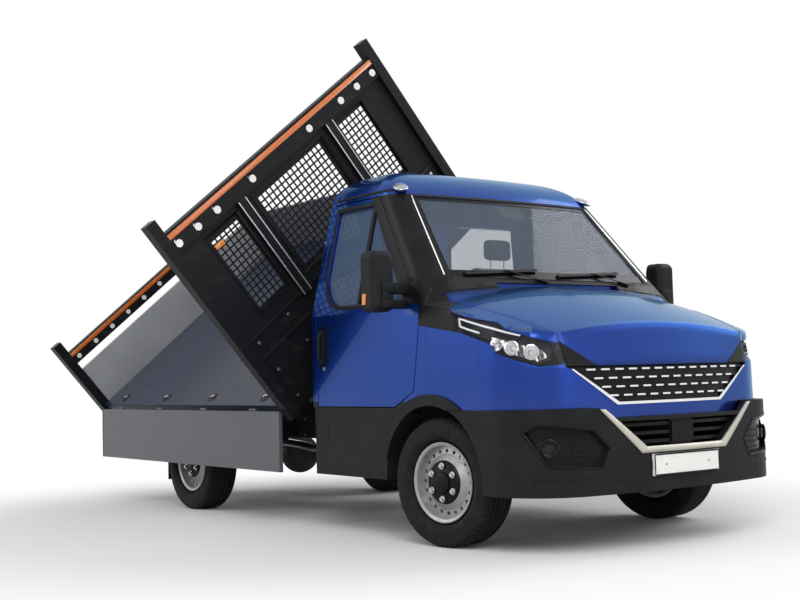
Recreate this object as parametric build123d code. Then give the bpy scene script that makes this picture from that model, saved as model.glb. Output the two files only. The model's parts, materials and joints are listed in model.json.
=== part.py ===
from build123d import *
from functools import lru_cache
import math
import os

# Light dump truck with a three-sided tipping bed, shown with the bed tipped to its right side.
# Sizes are in millimetres. Sub-parts are drawn in the vehicle's frame: X forward from the front
# axle, Y to the vehicle's left, Z up from the ground. Each is then moved so that the part's own
# origin lies on the ground in the middle of its outer box.

# Place of the front axle and of the vehicle's centre plane in the part's frame.
FRONT_AXLE_X = 1732.0
CENTRE_Y = 386.0

# Running gear.
WHEELBASE = 3000.0
TRACK = 1724.0
TYRE_R = 356.0
TYRE_W = 235.0
RIM_R = 221.0
RIM_W = 170.0
RIM_SEAT_GAP = 0.5
VENT_COUNT = 20
VENT_R = 11.0
VENT_RING_R = 172.0
HUB_BORE_R = 45.0
HUB_FIT = 0.1
KINGPIN_OFFSET = 130.0
KINGPIN_R = 22.0
KINGPIN_FIT = 0.1
STEER_REST = 8.0
AXLE_TUBE_R = 55.0
RUN_GAP = 6.0

# Frame.
RAIL_TOP = 680.0
RAIL_H = 160.0
RAIL_W = 65.0
RAIL_WALL = 6.0
RAIL_OUT_Y = 430.0
RAIL_FRONT = 640.0
RAIL_REAR = -4200.0
TOW_Z = 600.0
TOW_SPAN_Y = 120.0
TOW_SPAN_Z = 55.0
TOW_HOLE_R = 7.5

# Cab.
CAB_BACK = -1200.0
CAB_HALF = 1000.0
CAB_LOW = 690.0
BELT_Z = 1335.0
DECK_Z = 800.0
EAVE_Z = 2060.0
FIREWALL_X = -20.0
FIREWALL_T = 30.0
WALL = 60.0
BACK_WALL = 55.0
SKIN = 26.0
SHUT_GAP = 6.0
GLASS_INSET = 22.0
GLASS_T = 6.0
FLUSH_INSET = 3.0
DOOR_LOW = 772.0
DOOR_REAR = -1140.0
SEAM_X = 430.0
SILL_T = 90.0
SILL_LOW = 352.0
SILL_STEP = 466.0
ARCH_R = 425.0
ARCH_TRIM = 62.0
LIP_T = 12.0
ARCH_BACK = 12.0
WELL_R = 452.0
WELL_IN_Y = 560.0

# Front end.
BUMPER_LOW = 310.0
BUMPER_TOP = 756.0
BUMPER_FRONT = 950.0
BUMPER_WALL = 45.0
GRILLE_TRIM = 14.0
GRILLE_ROWS = 5
GRILLE_PITCH = 46.0
DASH_PITCH = 95.0
DASH_L = 58.0
DASH_H = 9.0
PLATE_W = 520.0
PLATE_H = 115.0
PLATE_T = 8.0
PLATE_LOW = 388.0
POCKET_DEPTH = 30.0
BAND_LOW = 700.0
COWL_LOW = 1474.0
COWL_T = 3.0
WIPER_T = 14.0
ARM_T = 8.0
BLADE_W = 16.0
WIPERS = ((-690.0, 560.0, 1552.0), (20.0, 560.0, 1552.0))
BAND_HALF = 530.0
BAND_SLOPE = 70.0
INTAKE_TOP = 682.0
INTAKE_LOW = 545.0
INTAKE_HALF = 300.0
INTAKE_SPREAD = 180.0
LIP_W = 33.0
LIP_PROUD = 10.0
BONNET_LOW = 975.0

# Bed.
BED_FRONT = -1490.0
BED_REAR = -4345.0
BED_HALF = 1080.0
FLOOR_Z = 995.0
FLOOR_T = 5.0
TIP_ANGLE = 40.0
PIVOT_Y = 760.0
PIVOT_Z = 870.0
PIVOT_R = 25.0
PIVOT_X = (BED_FRONT - 260.0, BED_REAR + 330.0)
PIVOT_FIT = 0.1
SIDE_H = 390.0
SIDE_T = 22.0
SIDE_HINGE_IN = 5.0
SIDE_HINGE_DROP = 20.0
SIDE_HINGES = 4
GATE_HINGES = 3
BARREL_R = 9.0
BARREL_L = 90.0
GATE_T = 28.0
GATE_HINGE_DROP = 50.0
POST_W = 75.0
POST_D = 80.0
HEAD_H = 1550.0
HEAD_BEAM_LOW = 1300.0
HEAD_BEAM_TOP = 1450.0
REAR_POST_H = 725.0
REAR_BEAM_LOW = 505.0
REAR_BEAM_TOP = 615.0
MESH_LOW = 655.0
MESH_TOP = 1250.0
MESH_PITCH = 42.0
MESH_HOLE = 31.0
MESH_BAYS = ((-780.0, -510.0), (-340.0, 340.0), (510.0, 780.0))
SUB_TOP = 800.0
BED_REST_GAP = 10.0

# Tipping cylinder.
RAM_X = -2420.0
RAM_BASE_Z = 610.0
RAM_EYE_Z = 905.0
RAM_R = 85.0
RAM_STAGES = 2
RAM_WALL = 10.0
RAM_FLOOR = 20.0
STAGE_FLOOR = 14.0
RAM_STEP = 4.0
TRUNNION_R = 24.0
RAM_FIT = 0.1
RAM_BARREL_LOW = 490.0
RAM_BARREL_TOP = 795.0
EYE_R = 52.0
EYE_PIN_R = 22.0

HANG_ANGLE = 180.0 - TIP_ANGLE


def outline(start, *moves):
    """Closed face: a point draws a line to it, a pair of points an arc through the first."""
    edges = []
    here = start
    for move in moves + (start,):
        if isinstance(move[0], tuple):
            edges.append(ThreePointArc(here, move[0], move[1]))
            here = move[1]
        elif move != here:
            edges.append(Line(here, move))
            here = move
    return make_face(edges)


def side_prism(face, y0, y1):
    """Side view face (x, z) drawn out from y0 to y1."""
    return Pos(0, y0, 0) * extrude(Plane.XZ * face, amount=-(y1 - y0))


def plan_prism(face, z0, z1):
    """Plan view face (x, y) drawn up from z0 to z1."""
    return Pos(0, 0, z0) * extrude(face, amount=z1 - z0)


def front_prism(face, x0, x1):
    """Front view face (y, z) drawn forward from x0 to x1."""
    return Pos(x0, 0, 0) * extrude(Plane.YZ * face, amount=x1 - x0)


def block(x0, x1, y0, y1, z0, z1):
    size = Box(x1 - x0, y1 - y0, z1 - z0)
    return Pos((x0 + x1) / 2, (y0 + y1) / 2, (z0 + z1) / 2) * size


def rod(start, end, radius):
    """Round bar between two points."""
    way = Vector(*end) - Vector(*start)
    place = Plane(origin=start, z_dir=way)
    return place * Cylinder(radius, way.length, align=(Align.CENTER, Align.CENTER, Align.MIN))


def pair(shape):
    """A right-hand shape and its mirror image on the left."""
    return shape + mirror(shape, about=Plane.XZ)


def left(shape):
    return mirror(shape, about=Plane.XZ)


def join(shapes):
    return Part() + shapes


# Cab body.

# Plan sections of the lower body: height, nose tip, bow of the front, corner radius.
NOSE_SECTIONS = [
    (CAB_LOW, 880.0, 135.0, 380.0),
    (970.0, 862.0, 115.0, 370.0),
    (1220.0, 775.0, 60.0, 330.0),
    (1500.0, 690.0, 40.0, 300.0),
]
# Bonnet crown: station, height on the centre line, height at the cab's full width.
CROWN_SECTIONS = [
    (-30.0, 1462.0, BELT_Z),
    (270.0, 1412.0, 1285.0),
    (510.0, 1325.0, 1200.0),
    (780.0, 1205.0, 1085.0),
    (950.0, 1115.0, 1000.0),
]
# Plan sections of the upper cab: height, back, windscreen front, half width, corner radius.
UPPER_SECTIONS = [
    (BELT_Z, CAB_BACK, 135.0, CAB_HALF, 150.0),
    (EAVE_Z, CAB_BACK + 15, -467.0, 828.0, 120.0),
]
ROOF_SECTIONS = [
    (EAVE_Z, CAB_BACK + 15, -467.0, 828.0, 120.0),
    (2130.0, CAB_BACK + 30, -540.0, 797.0, 120.0),
    (2195.0, CAB_BACK + 85, -645.0, 715.0, 120.0),
    (2238.0, CAB_BACK + 220, -800.0, 540.0, 90.0),
]
CROWN_EDGE = 1100.0
SCREEN_LOW = 1500.0
SCREEN_TOP = 2028.0
SCREEN_BOW = 45.0
SCREEN_LEAN = 1.25


def plan_section(back, front, bow, half, corner):
    """Straight back and sides, bowed front, rounded front corners."""
    arc_end = front - bow
    face = outline((back, -half), (arc_end, -half), ((front, 0), (arc_end, half)), (back, half))
    return fillet(face.vertices().sort_by(Axis.X)[-2:], corner)


def lower_body(inset):
    """Body below the belt and the nose, with every outer face moved in by the inset."""
    faces = []
    for height, front, bow, corner in NOSE_SECTIONS:
        face = plan_section(CAB_BACK + inset, front - inset, bow, CAB_HALF - inset, corner - inset)
        faces.append(Pos(0, 0, height) * face)
    hull = loft(faces, ruled=True)
    crowns = []
    for station, middle, edge in CROWN_SECTIONS:
        drop = (middle - edge) * (CROWN_EDGE / CAB_HALF) ** 2
        low = CAB_LOW - 100
        end_z = middle - drop - inset
        face = outline((-CROWN_EDGE, low), (CROWN_EDGE, low), (CROWN_EDGE, end_z),
                       ((0, middle - inset), (-CROWN_EDGE, end_z)))
        crowns.append(Pos(station, 0, 0) * (Plane.YZ * face))
    nose = hull & loft(crowns)
    rear = hull & block(CAB_BACK - 100, 0, -CROWN_EDGE, CROWN_EDGE, CAB_LOW - 100, BELT_Z)
    return nose + rear


def upper_loft(sections, inset, ruled):
    faces = []
    for height, back, front, half, corner in sections:
        drop = inset if height > EAVE_Z else 0
        face = plan_section(back + inset, front - SCREEN_LEAN * inset, SCREEN_BOW, half - inset, corner - inset)
        faces.append(Pos(0, 0, height - drop) * face)
    return loft(faces, ruled=ruled)


@lru_cache(maxsize=None)
def body(inset):
    """Whole cab body up to the eaves, moved in by the inset."""
    return lower_body(inset) + upper_loft(UPPER_SECTIONS, inset, True)


def door_face(grow):
    """Side view of a door's edge; grow moves the edge outward."""
    g = grow
    return outline((DOOR_REAR - g, DOOR_LOW - g), (-330 + g, DOOR_LOW - g), (-150 + g, 862),
                   (-84 + g, 1231), (-84 + g, BELT_Z), (-655 + g, 2042 + g), (DOOR_REAR - g, 2042 + g))


def door_window_face():
    return outline((-1085, 1990), (-1085, 1590), ((-1020, 1440), (-860, 1385)), (-235, 1385), (-700, 1990))


def screen_face():
    return outline((-800, SCREEN_LOW), (800, SCREEN_LOW), (705, SCREEN_TOP), (-705, SCREEN_TOP))


def rear_window_face():
    return outline((-730, 1480), (730, 1480), (690, 1960), (-690, 1960))


def bonnet_face(grow):
    g = grow
    return outline((35 - g, -895 - g), (330, -880 - g), (640, -800 - g), (1100, -560 - g),
                   (1100, 560 + g), (640, 800 + g), (330, 880 + g), (35 - g, 895 + g))


def bonnet_region(grow):
    return plan_prism(bonnet_face(grow), BONNET_LOW - grow, 1600)


def lamp_region():
    """Right headlamp's side view, drawn through the nose corner."""
    face = outline((215, 1275), (330, 1330), (820, 1330), (820, 1020), (790, 985), (735, 975), (540, 1055),
                   (505, 1105), (300, 1165))
    return side_prism(face, -1150, -560)


def grille_face(grow):
    g = grow
    return outline((-415 - g, 768 - g), (415 + g, 768 - g), (710 + g, 968), (700 + g, 990), (-700 - g, 990),
                   (-710 - g, 968))


def band_region():
    """Painted band between the grille and the intake, seen from the front."""
    top = BAND_HALF + BAND_SLOPE
    face = outline((-top, BUMPER_TOP), (-BAND_HALF, BAND_LOW), (BAND_HALF, BAND_LOW), (top, BUMPER_TOP))
    return front_prism(face, 300, 1300)


def arch_bar(radius, y0, y1):
    return rod((0, y0, TYRE_R), (0, y1, TYRE_R), radius)


def cab_parts():
    """Cab panels, glass and the front end's painted parts."""
    out = {}
    outer = body(0)
    inner = body(WALL)
    skin = body(SKIN)
    pane_out = body(GLASS_INSET)
    pane_in = body(GLASS_INSET + GLASS_T)
    screen_in = body(FLUSH_INSET + GLASS_T)
    screen_out = body(FLUSH_INSET)
    doors_cut = pair(side_prism(door_face(SHUT_GAP), -1200, -600))
    wells = pair(arch_bar(WELL_R, -1200, -WELL_IN_Y))
    cavity = inner & block(CAB_BACK + BACK_WALL, FIREWALL_X - FIREWALL_T, -1200, 1200, DECK_Z + 60, 3000)
    lower_well = inner & block(CAB_BACK + BACK_WALL, -480, -1200, 1200, DECK_Z, 3000)
    cab = (outer & block(-2000, FIREWALL_X, -1200, 1200, 0, 3000)) - cavity - lower_well - wells - doors_cut
    cab = cab - front_prism(screen_face(), -800, 300) - front_prism(rear_window_face(), -1400, -1000)
    cab = cab - bonnet_region(SHUT_GAP)
    split_x = CAB_BACK + BACK_WALL
    sill_in = CAB_HALF - SILL_T
    sill_cut = pair(block(-3000, 0, -1500, -sill_in, 0, DOOR_LOW - SHUT_GAP))
    out["cab_floor"] = (cab & block(-3000, 3000, -1500, 1500, 0, DECK_Z)) - sill_cut
    upper = cab & block(-3000, 3000, -1500, 1500, DECK_Z, EAVE_Z)
    out["cab_rear_wall"] = upper & block(-3000, split_x, -1500, 1500, 0, 3000)
    out["cab_front_frame"] = upper & block(split_x, 3000, -1500, 1500, 0, 3000)
    roof_in = upper_loft(ROOF_SECTIONS, WALL / 2, False)
    out["cab_roof"] = upper_loft(ROOF_SECTIONS, 0, False) - roof_in
    room = inner + Pos(-WALL, 0, 0) * inner
    door = (outer - room) & side_prism(door_face(0), -1200, -600)
    door = door - side_prism(door_window_face(), -1200, -500) - arch_bar(ARCH_R + ARCH_TRIM + SHUT_GAP, -1200, 0)
    out["door_right"] = door
    out["door_left"] = left(door)
    pane = (pane_out - pane_in) & side_prism(door_window_face(), -1200, -500)
    out["door_glass_right"] = pane
    out["door_glass_left"] = left(pane)
    screen = (screen_out - screen_in) & front_prism(screen_face(), -800, 300)
    out["cab_glass"] = screen + ((pane_out - pane_in) & front_prism(rear_window_face(), -1400, -1000))
    sheet = (outer - skin) & block(FIREWALL_X, 3000, -1500, 1500, 0, 3000)
    out["bonnet"] = sheet & bonnet_region(0)
    rest = sheet - bonnet_region(SHUT_GAP) - doors_cut - wells - front_prism(screen_face(), -800, 300)
    lamp = lamp_region()
    rest = rest - pair(lamp) - front_prism(grille_face(0), 500, 1100)
    rest = rest - pair(arch_bar(ARCH_R + ARCH_BACK, -1200, -600))
    rest = rest & (block(-500, 3000, -1500, 1500, BUMPER_TOP, 3000) + band_region())
    wing = rest & block(-500, SEAM_X, -1500, -500, 0, 3000)
    out["front_wings"] = pair(wing)
    out["nose_panel"] = rest & block(SEAM_X, 3000, -1500, 1500, 0, 3000)
    lamp_body = ((outer - inner) & lamp) - bonnet_region(SHUT_GAP)
    out["front_lamps"] = pair(lamp_body) + pair(fog_lamp())
    out.update(grille_parts(outer))
    out["cowl_and_wipers"] = wiper_parts()
    return out


def wiper_parts():
    """Cowl strip under the windscreen, and two wipers lying on the glass."""
    strip = outline((-760, COWL_LOW), (760, COWL_LOW), (770, SCREEN_LOW - 4), (-770, SCREEN_LOW - 4))
    cowl = (body(-COWL_T) - body(0)) & front_prism(strip, -300, 300)
    blades = []
    arms = []
    for y, reach, tip_z in WIPERS:
        end = y + reach
        blades.append(outline((y, SCREEN_LOW + 20), (end, tip_z), (end, tip_z + BLADE_W),
                              (y, SCREEN_LOW + 20 + BLADE_W)))
        middle = y + reach * 0.55
        middle_z = SCREEN_LOW + 20 + (tip_z - SCREEN_LOW - 20) * 0.55
        foot = y + reach * 1.05
        arms.append(outline((foot - 12, COWL_LOW + 8), (foot + 12, COWL_LOW + 8), (middle + 10, middle_z + BLADE_W),
                            (middle - 10, middle_z + BLADE_W)))
    lying = body(-WIPER_T) - body(-COWL_T)
    blade = lying & join([front_prism(face, -400, 300) for face in blades])
    arm = (body(-WIPER_T - ARM_T) - body(-WIPER_T)) & join([front_prism(face, -400, 300) for face in arms])
    feet = (lying & join([front_prism(face, -400, 300) for face in arms])) & block(-300, 300, -900, 900, 0, SCREEN_LOW)
    return cowl + blade + arm + feet


def grille_parts(outer):
    """Grille: curved back, slats with short bright dashes, and the trim round it."""
    out = {}
    hole = front_prism(grille_face(-GRILLE_TRIM), 500, 1100)
    back = (body(SKIN - 6) - body(SKIN + 12)) & hole
    slats = []
    for row in range(GRILLE_ROWS):
        z = BONNET_LOW - 20 - row * GRILLE_PITCH
        slats.append(block(500, 1100, -900, 900, z - 6, z + 6))
    bars = (body(8) - body(SKIN)) & hole & join(slats)
    below = block(0, 3000, -1500, 1500, 0, BONNET_LOW - SHUT_GAP)
    out["grilles"] = ((back + bars) & below) + intake_slats()
    dashes = []
    for row in range(GRILLE_ROWS):
        z = BONNET_LOW - 20 - row * GRILLE_PITCH
        half = 640 - row * 60
        shift = (row % 2) * DASH_PITCH / 2
        count = int((2 * half - DASH_L) // DASH_PITCH)
        for n in range(-count // 2, count // 2 + 1):
            y = n * DASH_PITCH + shift
            if abs(y) < half:
                dashes.append(block(500, 1100, y - DASH_L / 2, y + DASH_L / 2, z - DASH_H / 2, z + DASH_H / 2))
    bright = (outer - body(8)) & hole & join(dashes) & below
    ring = front_prism(grille_face(0), 500, 1100) - front_prism(grille_face(-GRILLE_TRIM), 400, 1200)
    low_ring = ring & block(0, 3000, -1500, 1500, 700, 960)
    out["bright_trim"] = bright + ((body(-5) - body(SKIN - 6)) & low_ring)
    return out


def bumper_face(inset):
    return plan_section(150.0, BUMPER_FRONT - inset, 130.0, CAB_HALF - inset, 390.0 - inset)


def intake_face():
    top = INTAKE_HALF + INTAKE_SPREAD
    return outline((-top, INTAKE_TOP), (-INTAKE_HALF, INTAKE_LOW), (INTAKE_HALF, INTAKE_LOW), (top, INTAKE_TOP))


def pocket_face():
    return outline((-945, 640), (-900, 672), (-640, 640), (-540, 545), (-590, 455), (-870, 470))


def bumper_layer(inset0, inset1):
    return plan_prism(bumper_face(inset0), 0, 2000) - plan_prism(bumper_face(inset1), 0, 2000)


def intake_slats():
    slats = [block(0, 3000, -90, 90, INTAKE_LOW, INTAKE_TOP)]
    rows = 3
    for row in range(rows):
        z = INTAKE_LOW + (INTAKE_TOP - INTAKE_LOW) * (row + 0.5) / rows
        slats.append(block(0, 3000, -1500, 1500, z - 9, z + 9))
    return bumper_layer(30, BUMPER_WALL) & front_prism(intake_face(), 500, 1300) & join(slats)


def fog_lamp():
    """Round lamp in the right pocket of the bumper."""
    back_x = 600.0
    lamp = rod((back_x, -850, 560), (1000, -850, 560), 40)
    return lamp & bumper_layer(POCKET_DEPTH - 14, POCKET_DEPTH)


def bumper_parts():
    out = {}
    shape = plan_prism(bumper_face(0), BUMPER_LOW, BUMPER_TOP) - plan_prism(bumper_face(BUMPER_WALL), 0, 2000)
    shape = (shape - pair(arch_bar(ARCH_R, -1200, 0))) & block(0, 3000, -1500, 1500, 0, 3000)
    pocket = front_prism(pocket_face(), 300, 1300) & bumper_layer(0, POCKET_DEPTH)
    shape = shape - band_region() - front_prism(intake_face(), 500, 1300) - pair(pocket)
    ledge = plan_prism(bumper_face(0), INTAKE_TOP, BAND_LOW) & block(500, 3000, -BAND_HALF, BAND_HALF, 0, 3000)
    out["front_bumper"] = shape + (ledge - body(0))
    rise = (INTAKE_TOP - INTAKE_LOW) / INTAKE_SPREAD
    tip = INTAKE_HALF + (BUMPER_TOP - SHUT_GAP - INTAKE_LOW) / rise
    top = BUMPER_TOP - SHUT_GAP
    low = INTAKE_LOW - LIP_W
    lip = outline((-tip - LIP_W, top), (-tip, top), (-INTAKE_HALF, INTAKE_LOW), (INTAKE_HALF, INTAKE_LOW),
                  (tip, top), (tip + LIP_W, top), (INTAKE_HALF + LIP_W, low), (-INTAKE_HALF - LIP_W, low))
    out["bumper_trim"] = bumper_layer(-LIP_PROUD, 0) & front_prism(lip, 300, 1300)
    plate = block(BUMPER_FRONT, BUMPER_FRONT + PLATE_T, -PLATE_W / 2, PLATE_W / 2, PLATE_LOW, PLATE_LOW + PLATE_H)
    holder = block(BUMPER_FRONT - 40, BUMPER_FRONT, -PLATE_W / 2, PLATE_W / 2, PLATE_LOW, PLATE_LOW + PLATE_H)
    out["number_plate"] = plate + (holder - plan_prism(bumper_face(0), 0, 2000))
    return out


def trim_parts():
    """Arch trims, sill cladding and arch liners."""
    out = {}
    lip = arch_bar(ARCH_R + ARCH_TRIM, -CAB_HALF - LIP_T, -CAB_HALF) - arch_bar(ARCH_R, -1200, 0)
    lip = lip & block(-1000, 1000, -1200, 0, SILL_STEP, 2000)
    lip = lip - block(0, 1000, -1200, 0, 0, BUMPER_TOP)
    sill = block(CAB_BACK + 20, -200, -CAB_HALF, -CAB_HALF + SILL_T, SILL_LOW, DOOR_LOW - SHUT_GAP)
    sill = sill - arch_bar(ARCH_R, -1300, 0)
    out["lower_cladding"] = pair(sill + lip)
    liner_out = -CAB_HALF + SILL_T + 4
    liner = arch_bar(WELL_R - 2, liner_out, -WELL_IN_Y) - arch_bar(WELL_R - 10, -1300, 0)
    liner = liner & block(-1000, 1000, -1200, 0, 520, 2000)
    guard_r = TYRE_R + 20
    guard = rear_bar(guard_r + 5) - rear_bar(guard_r)
    guard = guard & block(-4000, -2000, -1100, 0, TYRE_R + 60, 2000)
    out["wheel_guards"] = pair(liner) + pair(guard)
    return out


def rear_bar(radius):
    return rod((-WHEELBASE, -960, TYRE_R), (-WHEELBASE, -735, TYRE_R), radius)


# Wheels and running gear.

def tyre_shape():
    """Tyre turned about Y, centred on its own middle."""
    half = TYRE_W / 2
    bead = RIM_R - 12 + RIM_SEAT_GAP
    seat = RIM_W / 2 - 12
    face = outline((bead, -seat), (RIM_R + 6, -seat), (RIM_R + 45, -half), (TYRE_R - 45, -half + 2),
                   ((TYRE_R - 14, -half + 10), (TYRE_R, -half + 40)), (TYRE_R, half - 40),
                   ((TYRE_R - 14, half - 10), (TYRE_R - 45, half - 2)), (RIM_R + 45, half), (RIM_R + 6, seat),
                   (bead, seat))
    return Rot(X=90) * revolve(Plane.XZ * face, axis=Axis.Z)


def rim_shape():
    """Pressed steel wheel: outer face toward -Y."""
    half = RIM_W / 2
    seat = RIM_R - 12
    face = outline((seat - 6, -half), (RIM_R, -half - 6), (RIM_R, -half), (seat, -half + 8), (seat, half - 8),
                   (RIM_R, half), (RIM_R, half + 6), (seat - 6, half), (seat - 12, half - 10),
                   (seat - 12, -half + 60), (150, -half + 45), (118, -half + 20), (HUB_BORE_R, -half + 28),
                   (HUB_BORE_R, -half + 18), (122, -half + 10), (156, -half + 35), (seat - 12, -half + 40))
    dish = Rot(X=90) * revolve(Plane.XZ * face, axis=Axis.Z)
    dish = mirror(dish, about=Plane.XZ)
    vents = []
    for n in range(VENT_COUNT):
        angle = math.radians(360 / VENT_COUNT * n)
        x = VENT_RING_R * math.cos(angle)
        z = VENT_RING_R * math.sin(angle)
        vents.append(rod((x, -half, z), (x, half, z), VENT_R))
    return dish - vents


def wheel_parts():
    out = {}
    tyre = tyre_shape()
    rim = rim_shape()
    for name, x, steer in (("front", 0.0, STEER_REST), ("rear", -WHEELBASE, 0.0)):
        for side, sign in (("right", -1), ("left", 1)):
            kingpin = Pos(x, sign * (TRACK / 2 - KINGPIN_OFFSET), TYRE_R) * Rot(Z=steer)
            place = kingpin * Pos(0, sign * KINGPIN_OFFSET, 0)
            turn = Rot(Z=0) if sign < 0 else Rot(Z=180)
            out["tyre_%s_%s" % (name, side)] = place * turn * tyre
            out["rim_%s_%s" % (name, side)] = place * turn * rim
    return out


def knuckle_parts():
    """Front knuckles with stub axles, and the cross-beam that carries them."""
    out = {}
    stub_end = KINGPIN_OFFSET + RIM_W / 2 - 30
    stub = rod((0, 0, 0), (0, -stub_end, 0), HUB_BORE_R - HUB_FIT)
    disc = rod((0, -KINGPIN_OFFSET + 10, 0), (0, -KINGPIN_OFFSET + 34, 0), 130)
    post = rod((0, 0, -70), (0, 0, 70), 40) - rod((0, 0, -200), (0, 0, 200), KINGPIN_R + KINGPIN_FIT)
    knuckle = stub - rod((0, 0, -200), (0, 0, 200), KINGPIN_R + KINGPIN_FIT)
    knuckle = knuckle + disc + post
    kingpin_y = TRACK / 2 - KINGPIN_OFFSET
    out["knuckle_right"] = Pos(0, -kingpin_y, TYRE_R) * Rot(Z=STEER_REST) * knuckle
    out["knuckle_left"] = Pos(0, kingpin_y, TYRE_R) * Rot(Z=STEER_REST) * Rot(Z=180) * knuckle
    beam = block(-70, 70, -360, 360, 330, 420)
    pins = []
    for sign in (-1, 1):
        y = sign * kingpin_y
        pins.append(rod((0, y, TYRE_R - 110), (0, y, TYRE_R + 110), KINGPIN_R))
        for z in (-95, 95):
            low = TYRE_R + z - 18
            pins.append(block(-35, 35, min(y, sign * 330), max(y, sign * 330), low, low + 36))
            pins.append(rod((0, y, low), (0, y, low + 36), 35))
        pins.append(block(-70, 70, min(sign * 280, sign * 360), max(sign * 280, sign * 360), 240, 500))
    out["front_axle_beam"] = join([beam] + pins) + pair(block(-60, 60, -400, -330, 480, RAIL_TOP - RAIL_H))
    return out


def rear_axle_parts():
    out = {}
    stub = TRACK / 2 + RIM_W / 2 - 30
    x = -WHEELBASE
    axle = rod((x, -stub, TYRE_R), (x, stub, TYRE_R), HUB_BORE_R - HUB_FIT)
    tube = rod((x, -TRACK / 2 + 90, TYRE_R), (x, TRACK / 2 - 90, TYRE_R), AXLE_TUBE_R)
    discs = pair(rod((x, -TRACK / 2 + 10, TYRE_R), (x, -TRACK / 2 + 100, TYRE_R), 135))
    diff = Pos(x, 0, TYRE_R) * Sphere(150)
    nose = rod((x, 0, TYRE_R), (x + 260, 0, TYRE_R + 15), 70)
    out["rear_axle"] = axle + tube + discs + diff + nose
    leaf = outline((x - 640, 500), ((x, TYRE_R + AXLE_TUBE_R + 8), (x + 640, 500)), (x + 640, 530),
                   ((x, TYRE_R + AXLE_TUBE_R + 50), (x - 640, 530)))
    spring = side_prism(leaf, -560, -490)
    seat = block(x - 70, x + 70, -560, -490, TYRE_R + AXLE_TUBE_R - 12, TYRE_R + AXLE_TUBE_R + 12)
    seat = seat - rod((x, -600, TYRE_R), (x, -400, TYRE_R), AXLE_TUBE_R)
    hanger_f = block(x + 600, x + 660, -560, -RAIL_OUT_Y, 528, 640)
    hanger_r = block(x - 660, x - 600, -560, -RAIL_OUT_Y, 528, 640)
    out["leaf_springs"] = pair(spring + seat + hanger_f + hanger_r)
    return out


def frame_parts():
    out = {}
    low = RAIL_TOP - RAIL_H
    rail = block(RAIL_REAR, RAIL_FRONT, -RAIL_OUT_Y, -RAIL_OUT_Y + RAIL_W, low, RAIL_TOP)
    groove = block(RAIL_REAR - 10, RAIL_FRONT + 10, -RAIL_OUT_Y + RAIL_WALL, -RAIL_OUT_Y + RAIL_W + 10,
                   low + RAIL_WALL, RAIL_TOP - RAIL_WALL)
    rail = rail - groove
    for x in (-150.0, -1100.0):
        rail = rail + block(x - 45, x + 45, -RAIL_OUT_Y, -RAIL_OUT_Y + RAIL_W, RAIL_TOP, CAB_LOW)
    out["frame_rails"] = pair(rail)
    inner = RAIL_OUT_Y - RAIL_WALL
    ties = []
    for x in (580.0, -1350.0, -2050.0, -3700.0, -4150.0):
        tie = block(x - 40, x + 40, -inner, inner, low + RAIL_WALL, RAIL_TOP - RAIL_WALL)
        hollow = block(x - 40 + RAIL_WALL, x + 60, -inner - 10, inner + 10, low + 2 * RAIL_WALL,
                       RAIL_TOP - 2 * RAIL_WALL)
        ties.append(tie - hollow)
    ties[-1] = ties[-1] - tow_holes(x - 40)
    for sign in (-1, 1):
        x = RAM_X + sign * (RAM_R + 30)
        bar = block(x - 14, x + 14, -inner, inner, RAM_BASE_Z - 45, RAM_BASE_Z + 45)
        ties.append(bar - rod((x - 40, 0, RAM_BASE_Z), (x + 40, 0, RAM_BASE_Z), TRUNNION_R + PIVOT_FIT))
    out["cross_members"] = join(ties)
    motor = block(10, 470, -240, 240, 530, 1090)
    box = rod((-700, 0, 500), (20, 0, 560), 105)
    shaft = rod((-WHEELBASE + 266, 0, TYRE_R + 15), (-690, 0, 500), 42)
    out["engine_and_gearbox"] = motor + box + shaft
    tank = block(-2260, -1500, 470, 800, 350, 640)
    tank = fillet(tank.edges().filter_by(Axis.X), 50)
    out["fuel_tank"] = tank + block(-2150, -1650, RAIL_OUT_Y, 475, 560, 620)
    pack = block(-1460, -1270, -760, -470, 645, 880)
    tray = block(-1470, -1250, -790, -RAIL_OUT_Y, 560, 590)
    out["hydraulic_pack"] = pack + tray + block(-1440, -1290, -700, -500, 590, 645)
    bar = block(RAIL_REAR - 60, RAIL_REAR, -900, 900, 400, 500)
    lugs = pair(block(RAIL_REAR - 5, RAIL_REAR + 200, -RAIL_OUT_Y - 20, -RAIL_OUT_Y, 410, 660))
    out["rear_underrun"] = bar + lugs
    tails = pair(block(RAIL_REAR - 68, RAIL_REAR - 60, -890, -590, 408, 492))
    mark = block(-575, -455, -822, -742, 2090, 2158)
    mark = fillet(mark.edges(), 26)
    marks = pair(mark) - upper_loft(ROOF_SECTIONS, 0, False)
    out["marker_lamps"] = tails + marks
    return out


def tow_holes(x):
    """Bolt holes of a tow coupling's flange in the rear cross-member."""
    holes = []
    for y in (-TOW_SPAN_Y / 2, TOW_SPAN_Y / 2):
        for z in (-TOW_SPAN_Z / 2, TOW_SPAN_Z / 2):
            holes.append(rod((x - 10, y, TOW_Z + z), (x + 20, y, TOW_Z + z), TOW_HOLE_R))
    return holes


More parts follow.
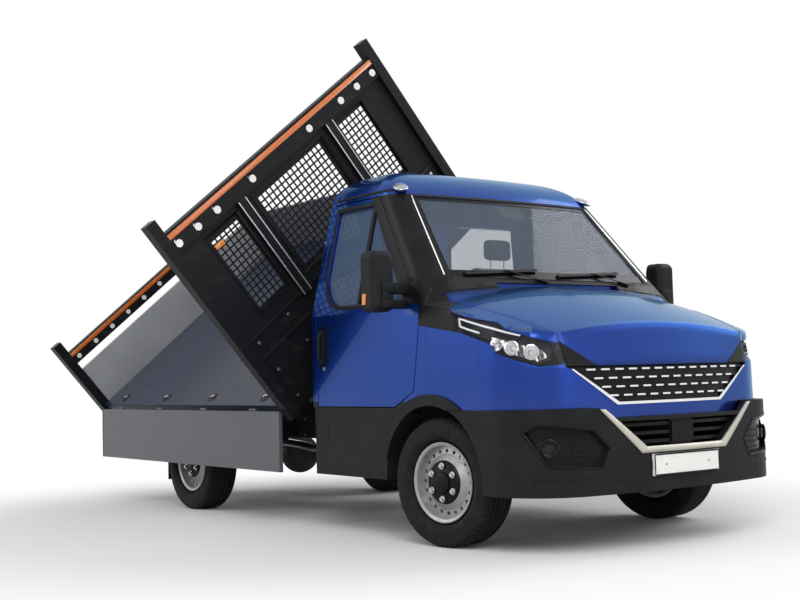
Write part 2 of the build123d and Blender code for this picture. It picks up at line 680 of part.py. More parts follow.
def subframe_parts():
    """Fixed part of the tipper: bearers on the frame and cross-beams with pivot pins."""
    out = {}
    bearers = pair(block(RAIL_REAR + 20, BED_FRONT - 40, -RAIL_OUT_Y, -RAIL_OUT_Y + RAIL_W, RAIL_TOP, SUB_TOP))
    out["subframe_bearers"] = bearers
    beams = []
    for x in PIVOT_X:
        beams.append(block(x - 50, x + 50, -PIVOT_Y - 45, PIVOT_Y + 45, RAIL_TOP + 10, SUB_TOP - 10))
        for sign in (-1, 1):
            pin_y = sign * PIVOT_Y
            beams.append(rod((x - 50, pin_y, PIVOT_Z), (x + 50, pin_y, PIVOT_Z), PIVOT_R))
            for x0, x1 in ((x - 50, x - 30), (x + 30, x + 50)):
                beams.append(block(x0, x1, pin_y - 40, pin_y + 40, SUB_TOP - 12, PIVOT_Z + 30))
    out["subframe_beams"] = join(beams) - bearers
    return out


# Bed, drawn level and tipped at the end.

def bed_parts():
    out = {}
    inside = BED_HALF - SIDE_T - RUN_GAP
    under = FLOOR_Z - FLOOR_T
    plate = block(BED_REAR, BED_FRONT, -inside, inside, under, FLOOR_Z)
    ribs = [plate]
    count = 8
    for n in range(count):
        x = BED_REAR + 60 + (BED_FRONT - BED_REAR - 120) * n / (count - 1)
        ribs.append(block(x - 30, x + 30, -inside, inside, under - 60, under))
    bearer_low = SUB_TOP + BED_REST_GAP
    bearer = block(BED_REAR + 40, BED_FRONT - 40, -RAIL_OUT_Y, -RAIL_OUT_Y + RAIL_W, bearer_low, under)
    ribs.append(pair(bearer))
    rave = block(BED_REAR, BED_FRONT, -inside, -inside + 40, under - 90, under)
    ribs.append(pair(rave))
    for x in PIVOT_X:
        for sign in (-1, 1):
            y = sign * PIVOT_Y
            lug = block(x - 22, x + 22, y - 45, y + 45, PIVOT_Z - 30 if sign < 0 else PIVOT_Z - 15, under)
            hole = rod((x - 40, y, PIVOT_Z), (x + 40, y, PIVOT_Z), PIVOT_R + PIVOT_FIT)
            if sign > 0:
                hole = hole + block(x - 40, x + 40, y - PIVOT_R - 1, y + PIVOT_R + 1, PIVOT_Z - 100, PIVOT_Z)
            ribs.append(lug - hole)
    for dx in (-60, 60):
        cheek = block(RAM_X + dx - 8, RAM_X + dx + 8, -70, 70, RAM_EYE_Z - 35, under)
        ribs.append(cheek)
    ribs.append(rod((RAM_X - 60, 0, RAM_EYE_Z), (RAM_X + 60, 0, RAM_EYE_Z), EYE_PIN_R))
    out["bed_floor"] = join(ribs)
    front = BED_FRONT
    base = FLOOR_Z - 95
    post = block(front, front + POST_D, -BED_HALF, -BED_HALF + POST_W, base, base + HEAD_H)
    in_y = BED_HALF - POST_W
    beam = block(front, front + 70, -in_y, in_y, base + HEAD_BEAM_LOW, base + HEAD_BEAM_TOP)
    holes = []
    for y in (285.0, 620.0, 795.0, 965.0):
        for sign in (-1, 1):
            holes.append(rod((front - 10, sign * y, base + 1366), (front + 90, sign * y, base + 1366), 22))
    panel = block(front + 10, front + 40, -in_y, in_y, base, base + HEAD_BEAM_LOW)
    windows = []
    for y0, y1 in MESH_BAYS:
        windows.append(block(front, front + 60, y0, y1, base + MESH_LOW, base + MESH_TOP))
    stiles = pair(block(front + 40, front + 75, -475, -405, base + 540, base + HEAD_BEAM_LOW))
    out["head_panel"] = panel - join(windows) + stiles
    out["head_mesh"] = join([mesh_sheet(front + 22, base, y0, y1) for y0, y1 in MESH_BAYS])
    rear = BED_REAR
    rpost = block(rear - POST_D, rear, -BED_HALF, -BED_HALF + POST_W, base, base + REAR_POST_H)
    out["bed_posts"] = pair(post) + pair(rpost)
    rear_beam = block(rear - 70, rear - 10, -in_y, in_y, base + REAR_BEAM_LOW, base + REAR_BEAM_TOP)
    out["bed_beams"] = (beam - join(holes)) + rear_beam
    gate_x = rear - 12
    gate_low = FLOOR_Z - GATE_HINGE_DROP + 6
    gate = block(gate_x - GATE_T, gate_x, -in_y + RUN_GAP, in_y - RUN_GAP, gate_low, gate_low + SIDE_H)
    pin_x = gate_x - GATE_T / 2
    pin_z = FLOOR_Z - GATE_HINGE_DROP
    for n in range(GATE_HINGES):
        y = -in_y + 2 * in_y * (n + 0.5) / GATE_HINGES
        gate = gate + rod((pin_x, y - BARREL_L / 2, pin_z), (pin_x, y + BARREL_L / 2, pin_z), BARREL_R)
    out["tailgate"] = gate
    side_low = FLOOR_Z - SIDE_HINGE_DROP + 8
    side = block(rear + 8, front - 8, -BED_HALF, -BED_HALF + SIDE_T, side_low, side_low + SIDE_H)
    hinge_y = BED_HALF - SIDE_HINGE_IN
    hinge_z = FLOOR_Z - SIDE_HINGE_DROP
    for n in range(SIDE_HINGES):
        x = rear + (front - rear) * (n + 0.5) / SIDE_HINGES
        side = side + rod((x - BARREL_L / 2, -hinge_y, hinge_z), (x + BARREL_L / 2, -hinge_y, hinge_z), BARREL_R)
    out["drop_side_left"] = left(side)
    swing = Pos(0, -hinge_y, hinge_z) * Rot(X=HANG_ANGLE) * Pos(0, hinge_y, -hinge_z)
    out["drop_side_right"] = swing * side
    tip = Pos(0, -PIVOT_Y, PIVOT_Z) * Rot(X=TIP_ANGLE) * Pos(0, PIVOT_Y, -PIVOT_Z)
    return {name: tip * shape for name, shape in out.items()}


def mesh_sheet(x, base, y0, y1):
    """Perforated sheet with square holes."""
    sheet = block(x, x + 4, y0, y1, base + MESH_LOW, base + MESH_TOP)
    columns = int((y1 - y0 - 10) // MESH_PITCH)
    rows = int((MESH_TOP - MESH_LOW - 10) // MESH_PITCH)
    middle_z = base + (MESH_LOW + MESH_TOP) / 2
    cells = []
    for c in range(columns):
        y = (y0 + y1) / 2 + (c - (columns - 1) / 2) * MESH_PITCH
        for r in range(rows):
            z = middle_z + (r - (rows - 1) / 2) * MESH_PITCH
            cells.append(Pos(y, z) * Rectangle(MESH_HOLE, MESH_HOLE))
    holes = extrude(Plane.YZ * Sketch(children=cells), amount=40)
    return sheet - Pos(x - 10, 0, 0) * holes


def ram_parts():
    """Telescopic tipping cylinder, standing as it does with the bed tipped."""
    out = {}
    tip = math.radians(TIP_ANGLE)
    arm_y = PIVOT_Y
    arm_z = RAM_EYE_Z - PIVOT_Z
    eye_y = -PIVOT_Y + arm_y * math.cos(tip) - arm_z * math.sin(tip)
    eye_z = PIVOT_Z + arm_y * math.sin(tip) + arm_z * math.cos(tip)
    reach = math.hypot(eye_y, eye_z - RAM_BASE_Z)
    closed = RAM_EYE_Z - RAM_BASE_Z
    lean = math.degrees(math.atan2(-eye_y, eye_z - RAM_BASE_Z))
    step = (reach - closed) / RAM_STAGES
    barrel = rod((0, 0, RAM_BARREL_LOW - RAM_BASE_Z), (0, 0, RAM_BARREL_TOP - RAM_BASE_Z), RAM_R)
    bore = rod((0, 0, RAM_BARREL_LOW - RAM_BASE_Z + RAM_FLOOR), (0, 0, 1000), RAM_R - RAM_WALL)
    trunnion = rod((-RAM_R - 45, 0, 0), (RAM_R + 45, 0, 0), TRUNNION_R)
    shapes = {"ram_barrel": barrel + trunnion - bore}
    radius = RAM_R - RAM_WALL - RAM_FIT
    for n in range(1, RAM_STAGES + 1):
        low = RAM_BARREL_LOW - RAM_BASE_Z + RAM_FLOOR + RAM_STEP + (n - 1) * (STAGE_FLOOR + RAM_STEP)
        high = RAM_BARREL_TOP - RAM_BASE_Z + n * 6
        tube = rod((0, 0, low), (0, 0, high), radius)
        if n < RAM_STAGES:
            tube = tube - rod((0, 0, low + STAGE_FLOOR), (0, 0, high + 10), radius - RAM_WALL)
        else:
            neck = rod((0, 0, high - 5), (0, 0, closed - EYE_R + 8), 30)
            eye = rod((-26, 0, closed), (26, 0, closed), EYE_R) - rod((-60, 0, closed), (60, 0, closed), EYE_R - 12)
            tube = tube + neck + eye
        shapes["ram_stage_%d" % n] = Pos(0, 0, n * step) * tube
        radius = radius - RAM_WALL - RAM_FIT
    place = Pos(RAM_X, 0, RAM_BASE_Z) * Rot(X=lean)
    for name, shape in shapes.items():
        out[name] = place * shape
    return out


# Cab furniture.

def fittings():
    out = {}
    head = block(-275, -165, -1250, -1090, 1310, 1655)
    head = fillet(head.edges().filter_by(Axis.X), 45)
    head = fillet(head.edges().filter_by(Axis.Z).sort_by(Axis.X)[-2:], 40)
    arms = block(-260, -205, -1100, -930, 1335, 1372) + block(-260, -205, -1100, -930, 1420, 1457)
    mirror_set = (head + arms) - body(0)
    grip = block(-1085, -1045, -CAB_HALF - 28, -CAB_HALF, 1040, 1245)
    out["door_fittings_right"] = mirror_set + grip
    out["door_fittings_left"] = left(mirror_set + grip)
    bench = block(-1020, -560, -760, -40, 960, 1120) + block(-1090, -1000, -760, -40, 1060, 1700)
    drive = block(-1020, -560, 180, 700, 960, 1120) + block(-1090, -1000, 180, 700, 1060, 1700)
    legs = block(-1000, -600, -700, -100, DECK_Z, 960) + block(-1000, -600, 240, 640, DECK_Z, 960)
    rests = block(-1090, -1010, -660, -440, 1690, 1880) + block(-1090, -1010, -340, -120, 1690, 1880)
    rests = rests + block(-1090, -1010, 330, 550, 1690, 1880)
    out["cab_seating"] = bench + drive + legs + rests
    face = outline((-52, 1050), (-52, 1400), (-200, 1430), (-380, 1340), (-420, 1180), (-300, 1050))
    board = side_prism(face, -880, 880)
    tilt = Pos(-560, 440, 1340) * Rot(Y=-35)
    hub = tilt * Cylinder(60, 30) + tilt * Box(30, 370, 12) + tilt * Torus(185, 15)
    column = rod((-560, 440, 1340), (-360, 440, 1200), 25)
    out["dash_and_steering"] = board + column + hub
    return out


def main():
    os.makedirs("parts", exist_ok=True)
    nodes = {}
    nodes.update(cab_parts())
    nodes.update(bumper_parts())
    nodes.update(trim_parts())
    nodes.update(wheel_parts())
    nodes.update(knuckle_parts())
    nodes.update(rear_axle_parts())
    nodes.update(frame_parts())
    nodes.update(subframe_parts())
    nodes.update(bed_parts())
    nodes.update(ram_parts())
    nodes.update(fittings())
    place = Pos(FRONT_AXLE_X, CENTRE_Y, 0)
    for name, shape in nodes.items():
        export_step(place * shape, "parts/%s.step" % name)


main()
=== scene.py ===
import json
import math

import bmesh
import bpy
from mathutils import Matrix, Vector
from mathutils.bvhtree import BVHTree


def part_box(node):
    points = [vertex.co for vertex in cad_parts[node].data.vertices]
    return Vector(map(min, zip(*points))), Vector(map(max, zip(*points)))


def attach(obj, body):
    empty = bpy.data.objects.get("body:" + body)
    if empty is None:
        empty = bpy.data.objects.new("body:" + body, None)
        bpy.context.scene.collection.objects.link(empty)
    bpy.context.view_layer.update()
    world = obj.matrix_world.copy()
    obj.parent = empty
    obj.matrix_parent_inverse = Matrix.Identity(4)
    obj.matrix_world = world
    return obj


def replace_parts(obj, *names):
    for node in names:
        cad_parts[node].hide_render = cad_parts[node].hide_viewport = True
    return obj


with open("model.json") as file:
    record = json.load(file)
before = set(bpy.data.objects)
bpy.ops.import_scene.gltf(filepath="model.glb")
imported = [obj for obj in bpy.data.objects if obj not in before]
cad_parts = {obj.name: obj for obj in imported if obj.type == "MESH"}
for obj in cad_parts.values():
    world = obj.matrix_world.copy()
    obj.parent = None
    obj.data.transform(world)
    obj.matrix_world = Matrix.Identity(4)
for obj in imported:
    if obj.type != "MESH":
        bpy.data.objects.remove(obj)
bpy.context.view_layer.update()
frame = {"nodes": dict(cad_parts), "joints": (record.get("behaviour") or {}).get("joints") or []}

# The vehicle's own frame: x forward from the front axle, y to its left, z up, in metres.
BEAM_LOW, BEAM_HIGH = [Vector(c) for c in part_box("front_axle_beam")]
AXLE_X = (BEAM_LOW.x + BEAM_HIGH.x) / 2
MID_Y = (BEAM_LOW.y + BEAM_HIGH.y) / 2
SIDES = (("right", -1), ("left", 1))
FORWARD, BACKWARD, UPWARD = (1, 0, 0), (-1, 0, 0), (0, 0, 1)


def at(x, y, z):
    """A point of the vehicle's frame in the part's frame."""
    return Vector((x + AXLE_X, y + MID_Y, z))


# Node maths.

class Sock:
    """A node's socket that takes part in Python expressions."""

    def __init__(self, wiring, socket):
        self.wiring = wiring
        self.socket = socket

    def math(self, operation, other):
        return self.wiring.node("ShaderNodeMath", {"operation": operation}, {0: self, 1: other})

    def __add__(self, other):
        return self.math("ADD", other)

    def __sub__(self, other):
        return self.math("SUBTRACT", other)

    def __mul__(self, other):
        return self.math("MULTIPLY", other)

    def __gt__(self, other):
        return self.math("GREATER_THAN", other)

    __radd__, __rmul__ = __add__, __mul__


class Wiring:
    """The nodes of one tree."""

    def __init__(self, tree):
        self.tree = tree

    def node(self, kind, settings=None, links=None, output=0):
        """A new node with its settings and inputs, each a constant or a socket; gives one of its outputs."""
        made = self.tree.nodes.new(kind)
        for key, value in (settings or {}).items():
            setattr(made, key, value)
        for key, value in (links or {}).items():
            self.join(made.inputs[key], value)
        return Sock(self, made.outputs[output])

    def join(self, socket, value):
        if isinstance(value, Sock):
            self.tree.links.new(value.socket, socket)
        elif socket.type == "RGBA":
            socket.default_value = (*value, 1)
        else:
            socket.default_value = value


class Paint(Wiring):
    """One material and the nodes in it."""

    def __init__(self, name):
        self.material = bpy.data.materials.new(name)
        self.material.use_nodes = True
        super().__init__(self.material.node_tree)
        self.bsdf = self.tree.nodes["Principled BSDF"]

    def place(self):
        return self.node("ShaderNodeTexCoord", output="Object")

    def axis(self, number):
        return self.node("ShaderNodeSeparateXYZ", links={0: self.place()}, output=number)

    def noise(self, scale, detail=4.0, rough=0.55, vector=None):
        return self.node("ShaderNodeTexNoise", links={"Vector": vector or self.place(), "Scale": scale,
                                                      "Detail": detail, "Roughness": rough})

    def wave(self, direction, scale, distortion=0.0, vector=None):
        return self.node("ShaderNodeTexWave", {"bands_direction": direction},
                         {"Vector": vector or self.place(), "Scale": scale, "Distortion": distortion})

    def mask(self, value, low, high, ends=(0, 1)):
        """Goes from one end to the other while a value goes from low to high."""
        made = self.node("ShaderNodeValToRGB", links={"Fac": value})
        for stop, place, shade in zip(made.socket.node.color_ramp.elements, (low, high), ends):
            stop.position = place
            stop.color = (shade, shade, shade, 1)
        return made

    def mix(self, factor, a, b):
        return self.node("ShaderNodeMix", {"data_type": "RGBA"}, {0: factor, 6: a, 7: b}, output=2)

    def stretch(self, x, y, z):
        return self.node("ShaderNodeMapping", links={"Vector": self.place(), "Scale": (x, y, z)})

    def rounded(self, radius):
        """Shading in which edges look rounded off."""
        return self.node("ShaderNodeBevel", {"samples": 6}, {"Radius": radius})

    def bump(self, height, strength, distance, normal=None):
        links = {"Strength": strength, "Distance": distance, "Height": height}
        if normal:
            links["Normal"] = normal
        return self.node("ShaderNodeBump", links=links)

    def set(self, **values):
        for key, value in values.items():
            self.join(self.bsdf.inputs[key.replace("_", " ")], value)
        return self.material


def scaled(tone, by, plus=0.0):
    return tuple(v * by + plus for v in tone)


def body_blue(name, soft):
    """Metallic blue lacquer: fine flake under a clear coat, a faint film of dust low down, edges pressed soft."""
    p = Paint(name)
    broad = p.noise(1.3, 3.0)
    flake = p.mask(p.noise(900.0, 2.0), 0.35, 0.7)
    shade = p.mix(flake, (0.003, 0.020, 0.165), (0.009, 0.050, 0.34))
    shade = p.mix(broad * 0.35, shade, (0.005, 0.028, 0.22))
    dust = p.mask(p.axis(2) + 0.25 * broad, 0.72, 1.0, (1, 0))
    peel = p.bump(p.noise(160.0, 2.0), 0.02, 0.002, p.rounded(soft))
    return p.set(Base_Color=p.mix(dust * 0.05, shade, (0.30, 0.29, 0.27)), Metallic=0.8,
                 Roughness=0.24 + 0.05 * broad + dust * 0.06, Specular_Tint=(0.42, 0.80, 1.0), Coat_Weight=0.34,
                 Coat_Roughness=0.04, Normal=peel)


def grained_plastic(name, tone, rough=0.52, grain=420.0):
    """Moulded black plastic with a leather-like grain and paler rubbed patches."""
    p = Paint(name)
    cells = p.node("ShaderNodeTexVoronoi", {"feature": "F1"}, {"Vector": p.place(), "Scale": grain})
    cloud = p.noise(5.0)
    colour = p.mix(p.mask(cloud, 0.35, 0.75), tone, scaled(tone, 1.5, 0.003))
    return p.set(Base_Color=colour, Roughness=rough + 0.16 * cloud - 0.08, Specular_IOR_Level=0.12,
                 Normal=p.bump(cells, 0.25, 0.0006))


def satin_paint(name, tone, worn, rough=0.42, wear=0.62, gloss=0.12):
    """Sprayed steel with scuffs where load and hands rub it."""
    p = Paint(name)
    scuff = p.noise(1.0, 6.0, 0.7, p.stretch(9.0, 5.0, 14.0))
    spots = p.noise(60.0, 3.0)
    rubbed = p.mask(scuff + 0.12 * spots, wear, wear + 0.16)
    colour = p.mix(rubbed * 0.55, p.mix(spots * 0.5, tone, scaled(tone, 1.35)), worn)
    return p.set(Base_Color=colour, Roughness=rough + rubbed * 0.15 + 0.06 * spots, Specular_IOR_Level=gloss,
                 Normal=p.bump(p.noise(240.0, 2.0), 0.06, 0.001))


def mill_aluminium():
    """Extruded alloy: fine lines along the bed, dull oxide clouds and some dirt."""
    p = Paint("mill_aluminium")
    lines = p.noise(1.0, 4.0, 0.6, p.stretch(2.0, 420.0, 420.0))
    cloud = p.noise(2.6, 5.0)
    dirt = p.mask(p.noise(9.0, 6.0, 0.7), 0.62, 0.8)
    colour = p.mix(cloud, (0.40, 0.415, 0.43), (0.56, 0.575, 0.585))
    return p.set(Base_Color=p.mix(dirt * 0.25, colour, (0.2, 0.19, 0.17)), Metallic=0.75,
                 Roughness=0.40 + 0.14 * cloud + 0.06 * lines, Normal=p.bump(lines, 0.08, 0.001))


def bright_metal(name, tone, rough):
    """Polished metal with a slight haze."""
    p = Paint(name)
    return p.set(Base_Color=tone, Metallic=1.0, Roughness=rough + 0.06 * p.noise(14.0, 3.0))


def champagne_trim():
    """Pale metallic trim that looks rounded at its edges."""
    p = Paint("champagne_trim")
    colour = p.mix(p.noise(1100.0, 2.0), (0.44, 0.415, 0.36), (0.62, 0.59, 0.53))
    return p.set(Base_Color=colour, Metallic=0.8, Roughness=0.27 + 0.05 * p.noise(6.0), Coat_Weight=0.5,
                 Normal=p.rounded(0.03))


def rim_silver():
    """Silver wheel paint with clouds of brake dust."""
    p = Paint("rim_silver")
    dust = p.mask(p.noise(22.0, 5.0), 0.45, 0.8)
    colour = p.mix(dust * 0.35, (0.33, 0.335, 0.345), (0.14, 0.13, 0.12))
    return p.set(Base_Color=colour, Metallic=0.55, Roughness=0.36 + 0.12 * dust, Coat_Weight=0.2)


def tyre_rubber():
    p = Paint("tyre_rubber")
    cloud = p.noise(16.0, 5.0, 0.65)
    colour = p.mix(p.mask(cloud, 0.4, 0.8), (0.006, 0.006, 0.0065), (0.020, 0.019, 0.017))
    return p.set(Base_Color=colour, Roughness=0.72 + 0.16 * cloud, Specular_IOR_Level=0.2,
                 Normal=p.bump(p.noise(300.0, 3.0), 0.15, 0.001))


def clear_glass(name, tint, cover, gloss=0.5):
    """Thin pane: see-through but for its cover, with gloss on top."""
    p = Paint(name)
    p.material.surface_render_method = "BLENDED"
    haze = p.noise(3.0, 3.0)
    return p.set(Base_Color=tint, Roughness=0.02 + 0.03 * haze, Alpha=cover + 0.04 * haze, Specular_IOR_Level=gloss)


def cast_iron():
    p = Paint("cast_iron")
    cloud = p.noise(30.0, 6.0, 0.7)
    colour = p.mix(cloud, (0.035, 0.034, 0.034), (0.11, 0.095, 0.08))
    return p.set(Base_Color=colour, Metallic=0.3, Roughness=0.62 + 0.2 * cloud, Normal=p.bump(cloud, 0.3, 0.002))


def woven_cloth():
    """Dark seat cloth of crossed threads."""
    p = Paint("woven_cloth")
    thread = p.wave("Y", 130.0, 0.6) * p.wave("Z", 130.0, 0.6)
    colour = p.mix(thread, (0.018, 0.019, 0.022), (0.06, 0.062, 0.068))
    return p.set(Base_Color=colour, Roughness=0.85 + 0.1 * thread, Sheen_Weight=0.3, Normal=p.bump(thread, 0.4, 0.001))


def reflector_cells():
    """Mirrored lamp bowl pressed into slanting cells."""
    p = Paint("reflector_cells")
    cells = p.wave("DIAGONAL", 9.0, 1.2, p.stretch(1.0, 1.0, 0.35))
    colour = p.mix(cells, (0.16, 0.155, 0.14), (0.86, 0.83, 0.74))
    return p.set(Base_Color=colour, Metallic=0.85, Roughness=0.10 + 0.08 * cells, Normal=p.bump(cells, 0.9, 0.02))


def lens(name, tone):
    """Coloured lamp plastic with moulded ribs inside."""
    p = Paint(name)
    ribs = p.wave("Z", 60.0)
    colour = p.mix(ribs * 0.5, tone, scaled(tone, 0.55))
    return p.set(Base_Color=colour, Roughness=0.16 + 0.1 * ribs, Coat_Weight=0.8, Normal=p.bump(ribs, 0.3, 0.001))


BLUE = body_blue("body_blue", 0.006)
BONNET_BLUE = body_blue("bonnet_blue", 0.07)
BLACK = grained_plastic("cladding_black", (0.0075, 0.008, 0.009))
GLOSS_BLACK = grained_plastic("trim_black", (0.005, 0.005, 0.006), 0.3, 900.0)
DASH_BLACK = grained_plastic("dash_black", (0.03, 0.03, 0.032), 0.6, 260.0)
BED_BLACK = satin_paint("bed_black", (0.007, 0.0075, 0.009), (0.030, 0.030, 0.030))
BED_FLOOR = satin_paint("bed_floor_blue_black", (0.011, 0.017, 0.042), (0.030, 0.038, 0.062), 0.26, 0.60, 0.16)
SIDE_GREY = satin_paint("drop_side_grey", (0.078, 0.082, 0.092), (0.15, 0.15, 0.155), 0.36, 0.68, 0.3)
FRAME_BLACK = satin_paint("frame_black", (0.016, 0.016, 0.017), (0.06, 0.05, 0.04), 0.5)
ALLOY = mill_aluminium()
CHROME = bright_metal("chrome", (0.82, 0.83, 0.85), 0.06)
RAM_STEEL = bright_metal("ram_steel", (0.62, 0.62, 0.63), 0.16)
CHAMPAGNE = champagne_trim()
SILVER = rim_silver()
RUBBER = tyre_rubber()
GLASS = clear_glass("cab_glass", (0.15, 0.20, 0.27), 0.22)
SIDE_GLASS = clear_glass("door_glass", (0.075, 0.115, 0.19), 0.80, 0.10)
IRON = cast_iron()
CLOTH = woven_cloth()
ORANGE = lens("amber_lens", (0.75, 0.22, 0.02))
SEAL = grained_plastic("window_rubber", (0.009, 0.009, 0.010), 0.5, 700.0)
FRIT = grained_plastic("screen_border", (0.004, 0.004, 0.005), 0.14, 900.0)
MIRROR = bright_metal("mirror_silver", (0.72, 0.75, 0.78), 0.02)
LAMP_DARK = grained_plastic("lamp_housing", (0.016, 0.017, 0.019), 0.35, 500.0)
LAMP_CLEAR = clear_glass("clear_lens", (0.86, 0.88, 0.90), 0.55)
LAMP_COVER = clear_glass("lamp_cover", (0.20, 0.22, 0.24), 0.05)
MARKER_LENS = bright_metal("marker_lens", (0.40, 0.43, 0.48), 0.10)
MARKER_CLEAR = clear_glass("marker_cover", (0.45, 0.48, 0.52), 0.30)
REFLECTOR = reflector_cells()
LIGHT_BAR = lens("light_bar", (0.85, 0.88, 0.92))
NUT_STEEL = bright_metal("zinc_steel", (0.46, 0.46, 0.45), 0.28)
STRIPE = lens("orange_stripe", (0.66, 0.15, 0.016))
STUD_WHITE = lens("white_stud", (0.86, 0.86, 0.84))
RED_PAINT = satin_paint("latch_red", (0.42, 0.012, 0.010), (0.20, 0.03, 0.03))
RED_LENS = lens("red_lens", (0.45, 0.010, 0.012))
BRACKET_BEIGE = satin_paint("bracket_beige", (0.50, 0.44, 0.30), (0.22, 0.18, 0.12))
PLATE_WHITE = satin_paint("plate_white", (0.74, 0.74, 0.72), (0.52, 0.52, 0.50), 0.35, 0.7)

# Finishes of the CAD nodes; a node that isn't named here is frame black.
FINISHES = (
    (BLUE, "cab_rear_wall cab_front_frame cab_roof door_right door_left front_wings nose_panel"),
    (BONNET_BLUE, "bonnet"),
    (GLASS, "cab_glass"),
    (SIDE_GLASS, "door_glass_right door_glass_left"),
    (LAMP_COVER, "front_lamps"),
    (MARKER_LENS, "marker_lamps"),
    (BLACK, "cowl_and_wipers front_bumper lower_cladding wheel_guards door_fittings_right door_fittings_left"),
    (GLOSS_BLACK, "grilles"),
    (CHROME, "bright_trim"),
    (CHAMPAGNE, "bumper_trim"),
    (PLATE_WHITE, "number_plate"),
    (CLOTH, "cab_seating"),
    (DASH_BLACK, "dash_and_steering"),
    (ALLOY, "tailgate"),
    (SIDE_GREY, "drop_side_right drop_side_left"),
    (BED_FLOOR, "bed_floor"),
    (BED_BLACK, "bed_posts bed_beams head_panel head_mesh"),
    (RAM_STEEL, "ram_stage_1 ram_stage_2"),
    (IRON, "engine_and_gearbox rear_axle front_axle_beam knuckle_right knuckle_left"),
    (RUBBER, "tyre_front_right tyre_front_left tyre_rear_right tyre_rear_left"),
    (SILVER, "rim_front_right rim_front_left rim_rear_right rim_rear_left"),
)
FINISH_OF = {name: finish for finish, names in FINISHES for name in names.split()}


def dress(obj, material):
    obj.data.materials.clear()
    obj.data.materials.append(material)


for name, obj in frame["nodes"].items():
    dress(obj, FINISH_OF.get(name, FRAME_BLACK))


# Ways of making pieces. Where nodes are asked for, their names stand in one string.

SHARP_ANGLE = math.radians(35)
RIBBON_STEP, PATCH_STEP = 0.025, 0.04
STRIP_SINK = 0.002
SKIN_T = 0.002


def bake(obj):
    """Turn the object's modifiers into a plain mesh."""
    bpy.context.view_layer.update()
    graph = bpy.context.evaluated_depsgraph_get()
    mesh = bpy.data.meshes.new_from_object(obj.evaluated_get(graph))
    obj.modifiers.clear()
    obj.data = mesh


def placed(name, mesh):
    obj = bpy.data.objects.new(name, mesh)
    bpy.context.collection.objects.link(obj)
    return obj


def mesh_of(name, bm):
    mesh = bpy.data.meshes.new(name)
    bm.to_mesh(mesh)
    bm.free()
    return mesh


def piece(name, bm, material, body, thick=0.0, bevel=0.0):
    """A finished piece from a bmesh: outward faces, its finish, and the body that it rides on."""
    bmesh.ops.remove_doubles(bm, verts=bm.verts, dist=1e-6)
    bmesh.ops.recalc_face_normals(bm, faces=bm.faces)
    obj = placed(name, mesh_of(name, bm))
    if thick:
        wall = obj.modifiers.new("wall", "SOLIDIFY")
        wall.thickness = thick
        wall.offset = 0.0
    if bevel:
        edge = obj.modifiers.new("edge", "BEVEL")
        edge.width = bevel
        edge.segments = 2
        edge.limit_method = "ANGLE"
    if thick or bevel:
        bake(obj)
    obj.data.shade_smooth()
    obj.data.set_sharp_from_angle(angle=SHARP_ANGLE)
    dress(obj, material)
    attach(obj, body)
    return obj


def add_block(bm, one, other, turn=Matrix()):
    """A box between two opposite corners, turned by a matrix about the part's origin."""
    low, high = (Vector(corner) for corner in zip(*(sorted(pair) for pair in zip(one, other))))
    place = Matrix.Translation((low + high) / 2) @ Matrix.Diagonal((*(high - low), 1))
    bmesh.ops.create_cube(bm, size=1.0, matrix=turn @ place)


def blocks(name, boxes, material, body, turn=Matrix(), bevel=0.0):
    """Boxes, each given by two opposite corners, as one piece."""
    bm = bmesh.new()
    for one, other in boxes:
        add_block(bm, one, other, turn)
    return piece(name, bm, material, body, bevel=bevel)


def facing(centre, way):
    """Matrix that puts a shape's +Z along a direction, at a point."""
    return Matrix.Translation(centre) @ Vector(way).to_track_quat("Z", "Y").to_matrix().to_4x4()


def polar(place, radius, share, height):
    """A point at a share of a full turn about a matrix's own z axis."""
    angle = 2 * math.pi * share
    return place @ Vector((radius * math.cos(angle), radius * math.sin(angle), height))


def loft(bm, rings, closed=False):
    """Faces over rings of points; the last ring joins the first, or both ends get a flat face."""
    rings = [[bm.verts.new(point) for point in ring] for ring in rings]
    count = len(rings[0])
    for a, b in zip(rings, rings[1:] + (rings[:1] if closed else [])):
        for k in range(count):
            m = (k + 1) % count
            bm.faces.new((a[k], a[m], b[m], b[k]))
    if not closed:
        bm.faces.new(rings[0])
        bm.faces.new(list(reversed(rings[-1])))


def add_lathe(bm, profile, centre, way, sides, closed=False):
    """Turn (radius, height) pairs about a direction."""
    place = facing(centre, way)
    loft(bm, [[polar(place, radius, n / sides, height) for n in range(sides)] for radius, height in profile], closed)


def add_tube(bm, points, radius, sides):
    """A round bar through points, with flat ends."""
    rings = []
    side = None
    for n, point in enumerate(points):
        ahead = (points[min(n + 1, len(points) - 1)] - points[max(n - 1, 0)]).normalized()
        if side is None:
            side = ahead.to_track_quat("Z", "Y") @ Vector((1, 0, 0))
        side = (side - ahead * side.dot(ahead)).normalized()
        up = ahead.cross(side)
        angles = [2 * math.pi * k / sides for k in range(sides)]
        rings.append([point + radius * (math.cos(angle) * side + math.sin(angle) * up) for angle in angles])
    loft(bm, rings)


def surface_of(names):
    """Search tree over the CAD nodes' faces."""
    corners, faces = [], []
    for name in names.split():
        mesh = frame["nodes"][name].data
        start = len(corners)
        corners += [v.co.copy() for v in mesh.vertices]
        faces += [[start + i for i in p.vertices] for p in mesh.polygons]
    return BVHTree.FromPolygons(corners, faces)


# From where a surface is looked at, which way, and how far in it may lie.
LOOKS = {
    "right": (lambda u, v: at(u, -3, v), Vector((0, 1, 0)), 2.5),
    "left": (lambda u, v: at(u, 3, v), Vector((0, -1, 0)), 2.5),
    "front": (lambda u, v: at(4, u, v), Vector((-1, 0, 0)), 4.8),
    "rear": (lambda u, v: at(-8, u, v), Vector((1, 0, 0)), 8.5),
}


